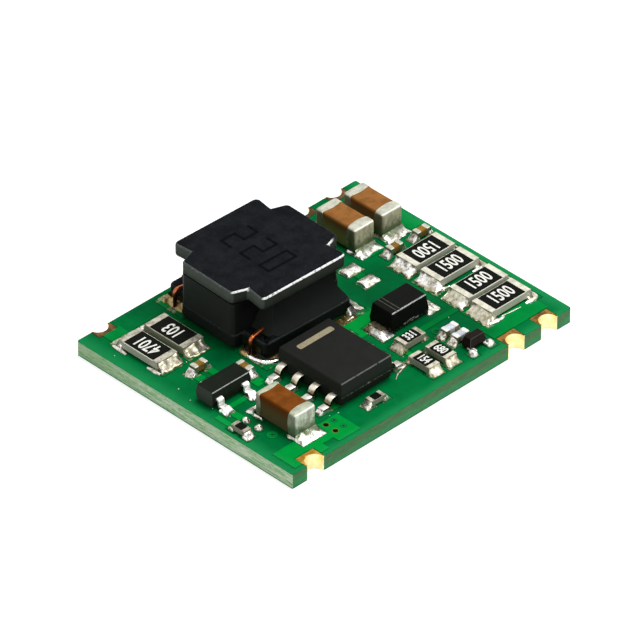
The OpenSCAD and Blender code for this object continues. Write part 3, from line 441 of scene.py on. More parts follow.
def moulding_look(name, tone, grain=1.0, spec=0.025, edge_highlight=None, left_light_tone=None, front_light_tone=None,
                  seam_and_glint=None):
    """Moulded epoxy: charcoal with fine grain and, where asked, painted light and shade on the left and
    front sides and a painted highlight along the front top edge.

    The seam values are the height and half thickness of a light line on the front side, with painted shade
    below it, then X, Z, half length and half height of a light oval on it.
    """
    low = dim(tone, 0.72)
    high = dim(tone, 1.3)
    m = Look(name, tone, 0.5, spec=spec)
    cloud = m.mix(m.noise(1.8, 5, 0.6), low, high)
    specks = m.spots(0.66, 0.76, 30, 2, 0.7)
    body = m.mix(specks, cloud, (110, 110, 106), 0.3 * grain)
    # Painted light and shade on the left and front sides
    if left_light_tone:
        body = m.mix(m.facing("X", -0.4, -0.8), body, left_light_tone)
    if front_light_tone:
        body = m.mix(m.facing("Y", -0.4, -0.8), body, front_light_tone)
    if seam_and_glint:
        z, thick, scar_x, scar_z, reach, rise = seam_and_glint
        front = m.facing("Y", -0.4, -0.8)
        # Painted shade below the seam line, where the front side slants in
        shade_below_seam = m.times(m.along("Z", z, z - 0.06), 0.5)
        body = m.mix(front, body, (14, 16, 13), shade_below_seam)
        along = m.math("DIVIDE", m.math("SUBTRACT", m.axis("X"), scar_x), reach)
        across = m.math("DIVIDE", m.math("SUBTRACT", m.axis("Z"), scar_z), rise)
        oval = m.plus(m.times(along, along), m.times(across, across))
        # A lighter line and oval: on the controller its seam and gate scar, on the diode a painted
        # highlight along the foot of the front face and a painted reflection
        line = m.times(m.band(m.axis("Z"), z - thick, z + thick, 0.02), 0.5)
        mark = m.times(front, m.math("MAXIMUM", line, m.step(oval, 1.0, 0.6)))
        crumbs = m.mix(m.spots(0.46, 0.6, 4.5, 4, 0.8), (66, 58, 50), (206, 202, 192))
        body = m.mix(mark, body, crumbs, 0.85)
    if edge_highlight:
        # Painted highlight along the front top edge
        edge = m.times(m.band(m.normal("Z"), 0.25, 0.95, 0.04), m.facing("Y", -0.2, -0.4))
        body = m.mix(edge, body, edge_highlight, m.spots(0.3, 0.5, 5, 4, 0.7))
    return m.done(body, (16, 3), (0.32, 0.52), (40, 2, 0.7), 6, 0.6 * grain)


def ceramic_look(name, low, high, left_light_tone=None):
    """Sintered dielectric: soft clouds, pale specks and, where asked, a left side in painted shade that
    greys downwards.
    """
    m = Look(name, high, 0.42, spec=0.03)
    tone = m.mix(m.spots(0.3, 0.7, 1.8, 4, 0.55), low, high)
    if left_light_tone:
        # Painted shade on the left side, darker downwards
        side = m.mix(m.along("Z", Z_SEAT + 0.6, Z_SEAT + 1.5), left_light_tone, dim(low, 0.7))
        tone = m.mix(m.facing("X", -0.3, -0.8), tone, side)
    specks = m.spots(0.66, 0.78, 24, 2, 0.75)
    tone = m.mix(specks, tone, (214, 184, 140), 0.3)
    return m.done(tone, (10, 3), (0.32, 0.55), (20, 3), 5, 0.5)


def alumina_look(name, low, high):
    """Substrate of a chip resistor: finely mottled, with painted shade on its sides."""
    m = Look(name, high, 0.6, spec=0.3)
    tone = m.mix(m.noise(5, 5, 0.65), low, high)
    side = m.step(m.math("ABSOLUTE", m.normal("Z")), 0.7, 0.3)
    return m.done(m.mix(side, tone, dim(low, 0.5), 0.5), None, None, (28, 3), 6, 0.6)


def glaze_look():
    """Black overglaze with a faint brush."""
    m = Look("black_glaze", (22, 22, 22), 0.3, spec=0.02)
    return m.done(m.mix(m.noise(4, 4), (9, 12, 9), (22, 26, 20)), (12, 3), (0.22, 0.42), (18, 3), 4, 0.5)


def wire_look():
    """Enamelled copper: deep orange with darker drag lines."""
    m = Look("enamelled_copper", (196, 96, 44), 0.26, 0.85)
    run = m.mix(m.noise(5, 4), (164, 74, 34), (224, 126, 74))
    tone = m.mix(m.along("Z", 1.55, 2.25), (70, 28, 14), run)
    return m.done(tone, (12, 3), (0.16, 0.36), (18, 3), 4, 0.5)


def ink_look(name, low, high, spec=0.1):
    """Printed marking, thin and slightly broken."""
    m = Look(name, high, 0.6, spec=spec)
    return m.done(m.mix(m.spots(0.3, 0.55, 9, 4, 0.7), low, high), None, None, (26, 2), 3, 0.4)


# Above the whole part, so that the lower mask shows no step
Z_NO_STEP = 5.0
MASK_TOP = mask_look("mask_top", (0, 102, 50), (0, 140, 54), Z_PAD)
MASK_BOTTOM = mask_look("mask_bottom", (0, 96, 46), (0, 120, 56), Z_NO_STEP)
VIA_RING = mask_look("via_ring", (0, 44, 24), (30, 142, 78), Z_MASK)
LAMINATE = laminate_look()
GOLD = gold_look()
PAD_TIN = pad_look()
SOLDER = solder_look("solder", 0.25)
FLUXED_SOLDER = solder_look("fluxed_solder", 1.0)
SHADED_SOLDER = solder_look("shaded_solder", 0.1, shade=0.85)
DIODE_SOLDER = solder_look("diode_solder", 0.1, shade_and_flux_from=-2.4)
BRIGHT_SOLDER = metal_look("bright_solder", (226, 224, 216), (255, 255, 255), 0.16, 4, pit=0.04)
# The dark brown tones of mixed_solder and brown_solder are painted reflections of dark surroundings
MIXED_SOLDER = metal_look("mixed_solder", (78, 62, 30), (244, 240, 228), 0.24, 10, 4.0, 0.85, 0.12)
GREY_SOLDER = metal_look("grey_solder", (100, 90, 62), (216, 208, 184), 0.28, 9, 3.0, 0.85, 0.15)
BROWN_SOLDER = metal_look("brown_solder", (70, 56, 26), (178, 158, 108), 0.3, 12, 3.0, 0.7)
FLUX = flux_look()
END_TIN = metal_look("end_tin", (186, 183, 166), (220, 217, 200), 0.42, 5, 2.2, 0.5, 0.07)
LEFT_END_TIN = metal_look("left_end_tin", (126, 121, 106), (196, 191, 174), 0.4, 7, 2.6, 0.7, 0.1)
SMALL_END_TIN = metal_look("small_end_tin", (140, 133, 112), (206, 200, 182), 0.4, 7, 2.6, 0.6, 0.09)
DULL_TIN = metal_look("dull_tin", (20, 19, 12), (58, 52, 30), 0.4, 7, metal=0.4)
CAP_TIN = cap_look("cap_tin", (206, 206, 188), (192, 188, 158), (112, 110, 78))
LEFT_CAP_TIN = cap_look("left_cap_tin", (188, 194, 170), (232, 238, 220), (142, 156, 128))
GREY_CAP_TIN = cap_look("grey_cap_tin", (240, 240, 238), (236, 228, 204), (150, 132, 86))
LEAD_TIN = lead_look()
WHITE_TIN = metal_look("white_tin", (222, 220, 214), (255, 255, 253), 0.26, 5, metal=0.4, pit=0.06)
DIODE_TIN = solder_look("diode_tin", 0.1, shade_and_flux_from=-3.4)
COPPER = metal_look("copper", (150, 88, 46), (216, 146, 92), 0.36, 6)
VIA_WALL = metal_look("via_wall", (60, 54, 20), (128, 104, 44), 0.4, 6)
# Black painted as the shade in the mouths of the open vias
VIA_SHADE = metal_look("via_shade", (4, 5, 4), (14, 14, 10), 0.6, 6, metal=0.0)
FERRITE = ferrite_look()
# The left and front tones here are painted light and shade, and the edge tones painted highlights. The
# controller's seam and scar are real; on the diode the seam is a painted highlight along the foot of the
# front face, and the scar a painted reflection.
RESIN = moulding_look("resin", (20, 23, 21), 0.3, 0.05, left_light_tone=(38, 42, 38))
IC_EPOXY = moulding_look(
    "ic_epoxy", (32, 33, 31), 0.8, edge_highlight=(112, 114, 108), left_light_tone=(46, 48, 42),
    front_light_tone=(43, 47, 43), seam_and_glint=(Z_SEAT + 0.55, 0.028, -2.65, Z_SEAT + 0.58, 0.17, 0.08),
)
SOT_EPOXY = moulding_look(
    "sot_epoxy", (26, 31, 26), 0.6, edge_highlight=(176, 178, 176), left_light_tone=(66, 72, 66),
    front_light_tone=(34, 40, 31),
)
MINI_EPOXY = moulding_look(
    "mini_epoxy", (30, 24, 21), 0.6, edge_highlight=(80, 70, 66), front_light_tone=(20, 22, 17),
)
DIODE_EPOXY = moulding_look(
    "diode_epoxy", (16, 18, 15), 0.6, edge_highlight=(190, 194, 190),
    seam_and_glint=(Z_SEAT + 0.12, 0.012, 3.36, Z_SEAT + 0.22, 0.66, 0.12),
)
BROWN = ceramic_look("brown_ceramic", (130, 85, 40), (154, 103, 54), (134, 122, 76))
TAN = ceramic_look("orange_ceramic", (108, 58, 14), (130, 72, 20), (86, 78, 50))
OLIVE = ceramic_look("olive_ceramic", (116, 84, 32), (152, 114, 54))
GREY = ceramic_look("grey_ceramic", (182, 184, 194), (226, 228, 236))
ALUMINA = alumina_look("alumina", (204, 202, 182), (242, 240, 226))
SMALL_ALUMINA = alumina_look("small_alumina", (146, 146, 126), (188, 186, 166))
GLAZE = glaze_look()
WIRE = wire_look()
WHITE_INK = ink_look("white_ink", (196, 194, 184), (240, 240, 232))
TAN_INK = ink_look("tan_ink", (128, 118, 94), (156, 146, 118))
GREY_INK = ink_look("grey_ink", (50, 50, 44), (84, 84, 76), 0.02)
DARK_INK = ink_look("dark_ink", (8, 10, 11), (17, 19, 20), 0.0)


def dress(node, mat, bevel=0.0, segments=2):
    """Gives a CAD node its material and, for the looks, slightly rounded edges."""
    o = nodes[node]
    o.data.materials.clear()
    o.data.materials.append(mat)
    if bevel:
        w = o.modifiers.new("weld", "WELD")
        w.merge_threshold = 1e-7
        d = o.modifiers.new("flats", "DECIMATE")
        d.decimate_type = "DISSOLVE"
        d.angle_limit = math.radians(0.5)
        b = o.modifiers.new("edge", "BEVEL")
        b.width = bevel * MM
        b.use_clamp_overlap = False
        b.segments = segments
        b.limit_method = "ANGLE"
        b.angle_limit = math.radians(35)
        b.harden_normals = False


for name, mat, *edge in (
    ("laminate", LAMINATE), ("mask_top", MASK_TOP), ("mask_bottom", MASK_BOTTOM), ("copper_top", PAD_TIN),
    ("copper_bottom", COPPER), ("via_barrels", VIA_WALL), ("inductor_core", FERRITE, 0.16, 4),
    ("inductor_winding", WIRE), ("inductor_resin", RESIN), ("inductor_electrodes", DULL_TIN),
    ("ic_body", IC_EPOXY, 0.05), ("diode_body", DIODE_EPOXY, 0.05), ("transistor_body", SOT_EPOXY, 0.04),
    ("small_transistor_body", MINI_EPOXY, 0.03), ("diode_leads", DIODE_TIN, 0.015, 1),
    ("transistor_leads", WHITE_TIN, 0.015, 1), ("small_transistor_leads", WHITE_TIN, 0.015, 1),
    ("small_resistor_substrates", SMALL_ALUMINA), ("small_resistor_glazes", GLAZE),
    ("small_resistor_ends", SMALL_END_TIN),
):
    dress(name, mat, *edge)
for k in range(1, 7):
    dress(f"castellation_{k}", GOLD)
for name in [f"sense_resistor_{k}" for k in range(1, 5)] + ["left_resistor_1", "left_resistor_2"]:
    dress(name + "_substrate", SMALL_ALUMINA if name == "left_resistor_2" else ALUMINA)
    dress(name + "_glaze", GLAZE)
    dress(name + "_ends", LEFT_END_TIN if name.startswith("left") else END_TIN)


# Pieces made here

scene = bpy.context.scene


def put(name, data):
    """A new object in the scene."""
    o = bpy.data.objects.new(name, data)
    scene.collection.objects.link(o)
    return o


class Shape:
    """Gathers vertices in millimetres and faces, and makes them one piece of the part."""

    def __init__(self):
        self.verts, self.faces, self.looks = [], [], []
        self.look = 0

    def add(self, verts, faces):
        base = len(self.verts)
        self.verts += verts
        self.faces += [[base + i for i in f] for f in faces]
        self.looks += [self.look] * len(faces)

    def skin(self, rings, closed=False):
        """Skins rings of points, and caps both ends or joins the last ring to the first."""
        count, total = len(rings[0]), len(rings)
        faces = []
        for k in range(total if closed else total - 1):
            here, ahead = k * count, (k + 1) % total * count
            for j in range(count):
                n = (j + 1) % count
                faces.append((here + j, here + n, ahead + n, ahead + j))
        if not closed:
            faces.append(list(range(count))[::-1])
            faces.append([(total - 1) * count + j for j in range(count)])
        self.add([spot for ring in rings for spot in ring], faces)

    def piece(self, name, mats, slot, *replaced, sharp=50):
        mesh = bpy.data.meshes.new(name)
        mesh.from_pydata([Vector(v) * MM for v in self.verts], [], self.faces)
        for mat in mats if isinstance(mats, tuple) else (mats,):
            mesh.materials.append(mat)
        mesh.polygons.foreach_set("material_index", self.looks)
        bm = bmesh.new()
        bm.from_mesh(mesh)
        bmesh.ops.recalc_face_normals(bm, faces=bm.faces)
        for f in bm.faces:
            f.smooth = True
        for e in bm.edges:
            e.smooth = len(e.link_faces) == 2 and e.calc_face_angle(0) < math.radians(sharp)
        bm.to_mesh(mesh)
        bm.free()
        o = put(name, mesh)
        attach(o, "root")
        if replaced:
            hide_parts(*replaced)


def at(place, turn, x, y):
    """A point of a turned part's own plane, on the board."""
    a = math.radians(turn)
    return place[0] + x * math.cos(a) - y * math.sin(a), place[1] + x * math.sin(a) + y * math.cos(a)


def lines(low, high, pitch, extra=()):
    """Grid lines from low to high, with the extra ones that lie between."""
    count = max(2, round((high - low) / pitch))
    out = [low + (high - low) * k / count for k in range(count + 1)]
    out += [e for e in extra if low + 0.002 < e < high - 0.002]
    return sorted(set(round(v, 5) for v in out))


def circle(r, count):
    """Points round a circle."""
    return [(r * math.cos(a), r * math.sin(a)) for a in (2 * math.pi * k / count for k in range(count))]


def section(half_w, half_h, r, arc=5, flat=6):
    """Points round a rounded rectangle."""
    arcs = []
    for k, (sy, sz) in enumerate(((1, 1), (-1, 1), (-1, -1), (1, -1))):
        cy, cz = sy * (half_w - r), sz * (half_h - r)
        angles = [math.radians(90 * k + 90 * j / arc) for j in range(arc + 1)]
        arcs.append([(cy + r * math.cos(a), cz + r * math.sin(a)) for a in angles])
    out = []
    for points, ahead in zip(arcs, arcs[1:] + arcs[:1]):
        (y, z), (to_y, to_z) = points[-1], ahead[0]
        out += points + [(y + (to_y - y) * j / flat, z + (to_z - z) * j / flat) for j in range(1, flat)]
    return out


def loft(shape, place, turn, z_mid, rings, closed=False):
    """Skins rings given as x, y, z in a part's own frame."""
    shape.skin([[(*at(place, turn, x, y), z_mid + z) for x, y, z in ring] for ring in rings], closed)


# Solder: width of the wall against a block, how far a block goes on past its joint, pull and reach of the
# drawn-in rim, scales of the ripples, round share of a mound, corner of a joint, width of the skirt and
# least height
WALL = 0.004
FAR = 9
EDGE_PULL, EDGE_REACH = 0.22, 0.2
RIM_SCALE, WAVE_SCALE, GRIT_SCALE = 3.1, 1.9, 5.0
ROUND, CORNER, SKIRT, LEAST = 0.42, 0.2, 0.05, 0.003


def ripple(x, y, seed, scale):
    """Smooth noise about nought, in the board's plane."""
    return noise.noise(Vector((x * scale, y * scale, seed)))


def solder(shape, place, turn, area, block=None, rise=0.2, bulge=0.0, flank=0.5, seed=0.0, pitch=0.075,
           calm=1.0, corner=None):
    """One joint: solder that covers an area of a pad and climbs the faces of the block that stands on it.

    area and block are x0, x1, y0, y1 in the part's own plane. Without a block it is a mound, which is
    round unless a corner radius is given.
    """
    x0, x1, y0, y1 = area
    full = min(x1 - x0, y1 - y0)
    r = ROUND * full
    r = min(r, corner or CORNER) if block or corner else r
    edges_x, edges_y = (), ()
    if block:
        bx0, bx1, by0, by1 = block
        edges_x = (bx0, bx0 - WALL, bx1, bx1 + WALL)
        edges_y = (by0, by0 - WALL, by1, by1 + WALL)
    xs = lines(x0, x1, pitch, edges_x)
    ys = lines(y0, y1, pitch, edges_y)
    top = []
    for x in xs:
        for y in ys:
            cx, cy = min(max(x, x0 + r), x1 - r), min(max(y, y0 + r), y1 - r)
            ox, oy = x - cx, y - cy
            if ox and oy:
                k = max(abs(ox), abs(oy)) / math.hypot(ox, oy)
                ox, oy = ox * k, oy * k
            px, py = cx + ox, cy + oy
            inner = min(x - x0, x1 - x, y - y0, y1 - y)
            near = max(0.0, 1 - inner / EDGE_REACH)
            bx, by = at(place, turn, px, py)
            pull = near * calm * EDGE_PULL * max(0.0, 0.35 + ripple(bx, by, seed + 9, RIM_SCALE))
            px += pull * ((x0 + x1) / 2 - px)
            py += pull * ((y0 + y1) / 2 - py)
            bx, by = at(place, turn, px, py)
            wave = calm * ripple(bx, by, seed, WAVE_SCALE)
            fine = calm * ripple(bx, by, seed + 4, GRIT_SCALE)
            skirt = FILM * 0.8 * min(1.0, inner / SKIRT)
            if block and bx0 < x < bx1 and by0 < y < by1:
                h = FILM * 0.9
            else:
                grit = 0.02
                climb = rise * (1 - (1 - inner / (full / 2)) ** 2)
                if block:
                    grit = 0.024
                    dx, dy = max(bx0 - x, 0, x - bx1), max(by0 - y, 0, y - by1)
                    d = math.hypot(dx, dy)
                    reach = d / (d + inner + 1e-6)
                    climb = rise * (1 - reach) ** 1.9 + bulge * 4 * reach * (1 - reach)
                    if dx == 0:
                        climb *= flank
                h = skirt + climb * (1 + 0.3 * wave) + grit * fine * min(1.0, inner / 0.12)
            top.append((bx, by, Z_PAD + max(h, LEAST)))
    nx, ny = len(xs), len(ys)
    faces = [(i * ny + j, (i + 1) * ny + j, (i + 1) * ny + j + 1, i * ny + j + 1)
             for i in range(nx - 1) for j in range(ny - 1)]
    rim = [i * ny for i in range(nx)] + [(nx - 1) * ny + j for j in range(1, ny)]
    rim += [i * ny + ny - 1 for i in range(nx - 2, -1, -1)] + list(range(ny - 2, 0, -1))
    base, count = len(top), len(rim)
    for k in range(count):
        n = (k + 1) % count
        faces.append((rim[n], rim[k], base + k, base + n))
    faces.append([base + k for k in range(count)])
    shape.add(top + [(*top[i][:2], Z_PAD) for i in rim], faces)


def chip_joints(shape, chips, kind, bulge, flank=0.5, side=0.0, spill=0.0, **manner):
    """Both joints of each chip. side widens the pads at the front, and spill draws the solder past them."""
    half = kind["w"] / 2
    block = (-FAR, 0, -half, half)
    rise = kind["wetting"] * kind["h"]
    for place, turn, minus, plus in chips:
        for end, out in ((180, minus), (0, plus)):
            seat = at(place, turn + end, kind["l"] / 2, 0)
            low, high = (0, side) if end else (side, 0)
            area = (-kind["band"], out + spill, -half - PAD_MARGIN - low, half + PAD_MARGIN + high)
            seed = place[0] * 1.7 + place[1] * 0.9 + end
            solder(shape, seat, turn + end, area, block, rise, bulge, flank, seed, **manner)


chip_solder = Shape()
for look, chips, kind, bulge, manner in (
    (1, SENSE_RESISTORS[0::2], BIG_RES, 0.05, {}),
    (1, SENSE_RESISTORS[1::2], BIG_RES, 0.05, dict(flank=0.2, side=SENSE_PAD_SIDE)),
    (1, LEFT_RESISTORS[:1], BIG_RES, 0.1, {}),
    (1, LEFT_RESISTORS[1:], BIG_RES, 0.06, {}),
    (3, LEFT_CAPACITOR, BIG_CAP, 0.03, dict(flank=0.3, spill=0.06, calm=0.4, corner=0.1)),
    (3, REAR_CAPACITORS, BIG_CAP, 0.03, dict(flank=0.3, spill=0.16, calm=0.6, corner=0.1)),
    (2, MID_RESISTORS, MID_RES, 0.03, {}),
    (0, BROWN_CAPACITORS, TINY_CAP, 0.06, {}),
    (4, TINY_RESISTORS, TINY_RES, 0.06, {}),
    (4, GREY_CAPACITORS, TINY_CAP, 0.06, {}),
):
    chip_solder.look = look
    chip_joints(chip_solder, chips, kind, bulge, **manner)
CHIP_SOLDERS = (SOLDER, FLUXED_SOLDER, GREY_SOLDER, SHADED_SOLDER, MIXED_SOLDER)
chip_solder.piece("chip_solder_joints", CHIP_SOLDERS, "solder", "chip_solder")

# Leads of the controller: out of the body, round two bends and along the pad
LEAD_W, LEAD_T, LEAD_R, LEAD_END = 0.45, 0.2, 0.03, 1.05
LEAD_Z, SHOULDER, SHOULDER_R, HEEL_R, LEAN = 0.56, 0.15, 0.28, 0.12, 22
# Plugs of the same moulding, in the slots that the solid leads have in the body
PLUG_Z, PLUG_W, PLUG_T, PLUG_STOPS = 0.82, 0.42, 0.2, (-0.28, -0.14, -0.012)


def arc_run(cx, cz, r, first, last, steps=6):
    """Points of an arc with the direction of travel at each, in degrees."""
    turn = 90 if last > first else -90
    run = []
    for k in range(steps + 1):
        a = first + (last - first) * k / steps
        run.append((cx + r * math.cos(math.radians(a)), cz + r * math.sin(math.radians(a)), a + turn))
    return run


def lead_run():
    """Middle line of a lead, outwards from the body's face and up from the seat."""
    run = [(-0.15, LEAD_Z, 0)] + arc_run(SHOULDER, LEAD_Z - SHOULDER_R, SHOULDER_R, 90, LEAN)
    x, z = run[-1][:2]
    lean = math.radians(LEAN)
    heel_z = LEAD_T / 2 + HEEL_R
    fall = (z - heel_z + HEEL_R * math.sin(lean)) / math.cos(lean)
    heel_x = x + fall * math.sin(lean) + HEEL_R * math.cos(lean)
    run += arc_run(heel_x, heel_z, HEEL_R, 180 + LEAN, 270)
    return run + [(LEAD_END - LEAD_R, LEAD_T / 2, 0), (LEAD_END, LEAD_T / 2, 0)]


# Joints of the leads: the area of the solder and the block that the lead's foot makes in it
IC_JOINT, IC_FOOT = (0.42, 1.37, -0.3, 0.3), (0.3, 1.05, -0.21, 0.21)
SOT_JOINT, SOT_FOOT = (0.23, 0.97, -0.4, 0.4), (0.1, 0.55, -0.21, 0.21)
DIODE_FOOT = (-FAR, 0.42, -0.5, 0.5)
MINI_MOUND, MINI_OUT = (-0.29, 0.29, -0.33, 0.33), (0.66, 0.22)
MINI_JOINT, MINI_FOOT = (-0.13, 0.13, -0.26, 0.08), (-FAR, FAR, -FAR, 0.0)

ic_leads, lead_solder = Shape(), Shape()
lead_rings, lead_line = [], lead_run()
for k, (u, z, way) in enumerate(lead_line):
    slim = LEAD_R if k == len(lead_line) - 1 else 0
    ring = section(LEAD_W / 2 - slim, LEAD_T / 2 - slim, LEAD_R, 2, 2)
    du, dz = math.cos(math.radians(way)), math.sin(math.radians(way))
    lead_rings.append([(u - dz * t, y, z + du * t) for y, t in ring])
plug = section(PLUG_W / 2, PLUG_T / 2, 0.01, 1, 2)
plug_rings = [[(u, y, z) for y, z in plug] for u in PLUG_STOPS]
for side in (0, 180):
    for row in (-1.5, -0.5, 0.5, 1.5):
        seat = at(IC_AT, side, IC_W / 2, row * IC_PITCH)
        ic_leads.look = 0
        loft(ic_leads, seat, side, Z_SEAT, lead_rings)
        ic_leads.look = 1
        loft(ic_leads, seat, side, Z_SEAT + PLUG_Z, plug_rings)
        solder(lead_solder, seat, side, IC_JOINT, IC_FOOT, 0.2, 0.03, 1.0, seat[1])
ic_leads.piece("ic_lead_frames", (LEAD_TIN, IC_EPOXY), "tinned_lead", "ic_leads", sharp=60)
lead_solder.look = 2
for way, shift in ((-1, -SOT_PITCH), (-1, SOT_PITCH), (1, 0)):
    seat = (SOT_AT[0] + shift, SOT_AT[1] + way * SOT_W / 2)
    solder(lead_solder, seat, 90 * way, SOT_JOINT, SOT_FOOT, 0.2, 0.08, 0.8, seat[0], calm=0.5)
for side, low, high in ((0, -1.06, 0.66), (180, -0.66, 1.06)):
    seat = at(DIODE_AT, side, DIODE_L / 2, 0)
    lead_solder.look = int(side == 180)
    solder(lead_solder, seat, side, (-0.18, 0.82, low, high), DIODE_FOOT, 0.2, 0.05, 0.6, side, calm=0.4)
lead_solder.look = 0
for side in (-1, 1):
    seat = (MINI_AT[0] + side * MINI_OUT[0], MINI_AT[1] - MINI_W / 2 - MINI_OUT[1])
    solder(lead_solder, seat, 0, MINI_MOUND, None, 0.26, seed=side)
solder(lead_solder, (MINI_AT[0], MINI_AT[1] + MINI_W / 2), 0, MINI_JOINT, MINI_FOOT, 0.05)
lead_solder.piece("lead_solder_joints", (SOLDER, DIODE_SOLDER, BRIGHT_SOLDER), "solder", "lead_solder")

# Solder at the corners of the inductor's base, given in the inductor's own plane
ARM = (DRUM_ARM_X + DRUM_BASE_STEP) / 2 + ELECTRODE_T
FRONT = DRUM_BASE_W / 2
# Beads of solder: share and scale of their lumps, and height of their foot over the pad
BEAD_LUMP, BEAD_GRAIN, BEAD_FOOT = 0.22, 0.45, 0.004


def bead(shape, path, widths, heights, seed, place=DRUM_AT, turn=DRUM_TURN, sides=8, steps=6):
    """Smooth ridge of solder along a path on the pad, with its own width and height at each point."""
    count = len(path)
    rows = []
    for k in range(count - 1):
        corners = [path[min(max(k + j, 0), count - 1)] for j in (-1, 0, 1, 2)]
        for j in range(steps + (k == count - 2)):
            t = j / steps
            spot = [0.5 * (2 * b1 + (b2 - b0) * t + (2 * b0 - 5 * b1 + 4 * b2 - b3) * t * t
                           + (3 * b1 - b0 - 3 * b2 + b3) * t ** 3)
                    for b0, b1, b2, b3 in zip(*corners)]
            rows.append((spot, *(size[k] + (size[k + 1] - size[k]) * t for size in (widths, heights))))
    rings = []
    for k, (spot, w, h) in enumerate(rows):
        ahead, behind = rows[min(k + 1, len(rows) - 1)][0], rows[max(k - 1, 0)][0]
        dx, dy = ahead[0] - behind[0], ahead[1] - behind[1]
        size = math.hypot(dx, dy)
        lump = 1 + BEAD_LUMP * noise.noise(Vector((k * BEAD_GRAIN, seed, 0)))
        ring = []
        for j in range(sides + 1):
            a = math.pi * j / sides
            off = math.cos(a) * w / 2 * lump
            x, y = at(place, turn, spot[0] - dy / size * off, spot[1] + dx / size * off)
            ring.append((x, y, Z_PAD + BEAD_FOOT + math.sin(a) * h * lump))
        rings.append(ring)
    shape.skin(rings)


def drum_joint(shape, turn, area, block, rise, bulge, seed, **manner):
    """Solder in the inductor's own plane."""
    solder(shape, DRUM_AT, DRUM_TURN + turn, area, block, rise, bulge, 0.9, seed, **manner)


LONG_CORNER, WIDE_CORNER = (-FAR, FRONT, -FAR, ARM), (-FAR, ARM, -FAR, FRONT)
# Front left: a bright crescent round a pool of flux, lumpy where the wire ends
CRESCENT = [
    (-3.6, -2.85), (-3.56, -3.15), (-3.5, -3.5), (-3.4, -3.82), (-3.2, -4.08), (-2.95, -4.27),
    (-2.6, -4.33), (-2.0, -4.3),
]
CRESCENT_WIDTHS = [0.2, 0.36, 0.42, 0.42, 0.42, 0.42, 0.36, 0.14]
CRESCENT_HEIGHTS = [0.1, 0.16, 0.16, 0.15, 0.15, 0.15, 0.13, 0.06]
WIRE_END = [(-3.5, -2.25), (-3.58, -2.55), (-3.62, -2.95)]
FRONT_LINE = [(2.9, -4.3), (2.3, -4.32), (1.6, -4.3)]
inductor_solder = Shape()
inductor_solder.look = 1
bead(inductor_solder, CRESCENT, CRESCENT_WIDTHS, CRESCENT_HEIGHTS, 1.0)
inductor_solder.look = 2
bead(inductor_solder, WIRE_END, [0.2, 0.42, 0.34], [0.08, 0.2, 0.14], 3.0)
# Front right: a fillet at the base's corner, and a thin line along the front of the pad
inductor_solder.look = 0
drum_joint(inductor_solder, -90, (2.7, 4.2, ARM - 0.5, ARM + 0.72), LONG_CORNER, 0.42, 0.03, 3.0)
bead(inductor_solder, FRONT_LINE, [0.16, 0.1, 0.06], [0.07, 0.05, 0.03], 2.0)
# Rear corners
inductor_solder.look = 2
drum_joint(inductor_solder, 90, (2.3, 4.15, ARM - 0.5, ARM + 0.42), LONG_CORNER, 0.3, 0.03, 5.0)
drum_joint(inductor_solder, 0, (ARM - 0.5, ARM + 0.42, 2.3, 4.15), WIDE_CORNER, 0.3, 0.03, 7.0)
DRUM_SOLDERS = (SOLDER, BRIGHT_SOLDER, BROWN_SOLDER)
inductor_solder.piece("inductor_solder_joints", DRUM_SOLDERS, "solder", "inductor_solder")
flux = Shape()
drum_joint(flux, 180, (1.9, 3.52, 2.2, 4.16), WIDE_CORNER, 0.24, 0.0, 11.0, calm=0.3)
drum_joint(flux, -90, (3.8, 4.5, 0.2, 3.2), None, 0.012, 0.0, 13.0, calm=0.2)
flux.piece("dried_flux", FLUX, "resin")

# Drawn-out solder on the mask: a thread beside the controller, and a line along the last sense resistor
# that paints a highlight along its edge
CONTROLLER_THREAD = [(0.46, -5.75), (-0.02, -5.9), (-0.38, -5.99), (-0.79, -6.24)]
SENSE_GLINT = [(7.34, -6.23), (7.91, -6.3), (8.67, -6.38)]
# Pools beside the pads of the second and the fourth sense resistor, and of the first left resistor
POOLS = (
    [(6.35, -2.2), (6.8, -2.32), (7.2, -2.36)], [(9.05, -2.32), (9.4, -2.34), (9.85, -2.3)],
    [(6.3, -6.3), (6.85, -6.38), (7.35, -6.4)], [(9.05, -6.36), (9.5, -6.38), (9.95, -6.34)],
    [(-9.56, 6.6), (-9.57, 6.05), (-9.6, 5.5)], [(-9.6, 3.85), (-9.57, 3.4), (-9.54, 2.9)],
)
BOARD = (0, 0), 0
drawn = Shape()
bead(drawn, CONTROLLER_THREAD, [0.16, 0.1, 0.12, 0.05], [0.09, 0.06, 0.06, 0.03], 4.0, *BOARD)
bead(drawn, SENSE_GLINT, [0.06, 0.1, 0.07], [0.04, 0.05, 0.04], 5.0, *BOARD)
for k, pool in enumerate(POOLS):
    drawn.look = int(pool[0][0] > 0)
    bead(drawn, pool, [0.16, 0.3, 0.14], [0.1, 0.16, 0.1], 6.0 + k, *BOARD)
drawn.piece("solder_threads", (SOLDER, BRIGHT_SOLDER), "solder")

pad_solder = Shape()
for k, p in enumerate(BARE_PADS):
    solder(pad_solder, p, 0, (-0.65, 0.65, -0.45, 0.45), None, 0.15, seed=k * 3.1, calm=0.6, corner=0.2)
for k, p in enumerate(DOT_PADS):
    solder(pad_solder, p, 0, (-0.26, 0.26, -0.26, 0.26), None, 0.24, seed=k * 2.3, pitch=0.05)
pad_solder.piece("bare_pad_mounds", SOLDER, "solder", "bare_pad_solder")

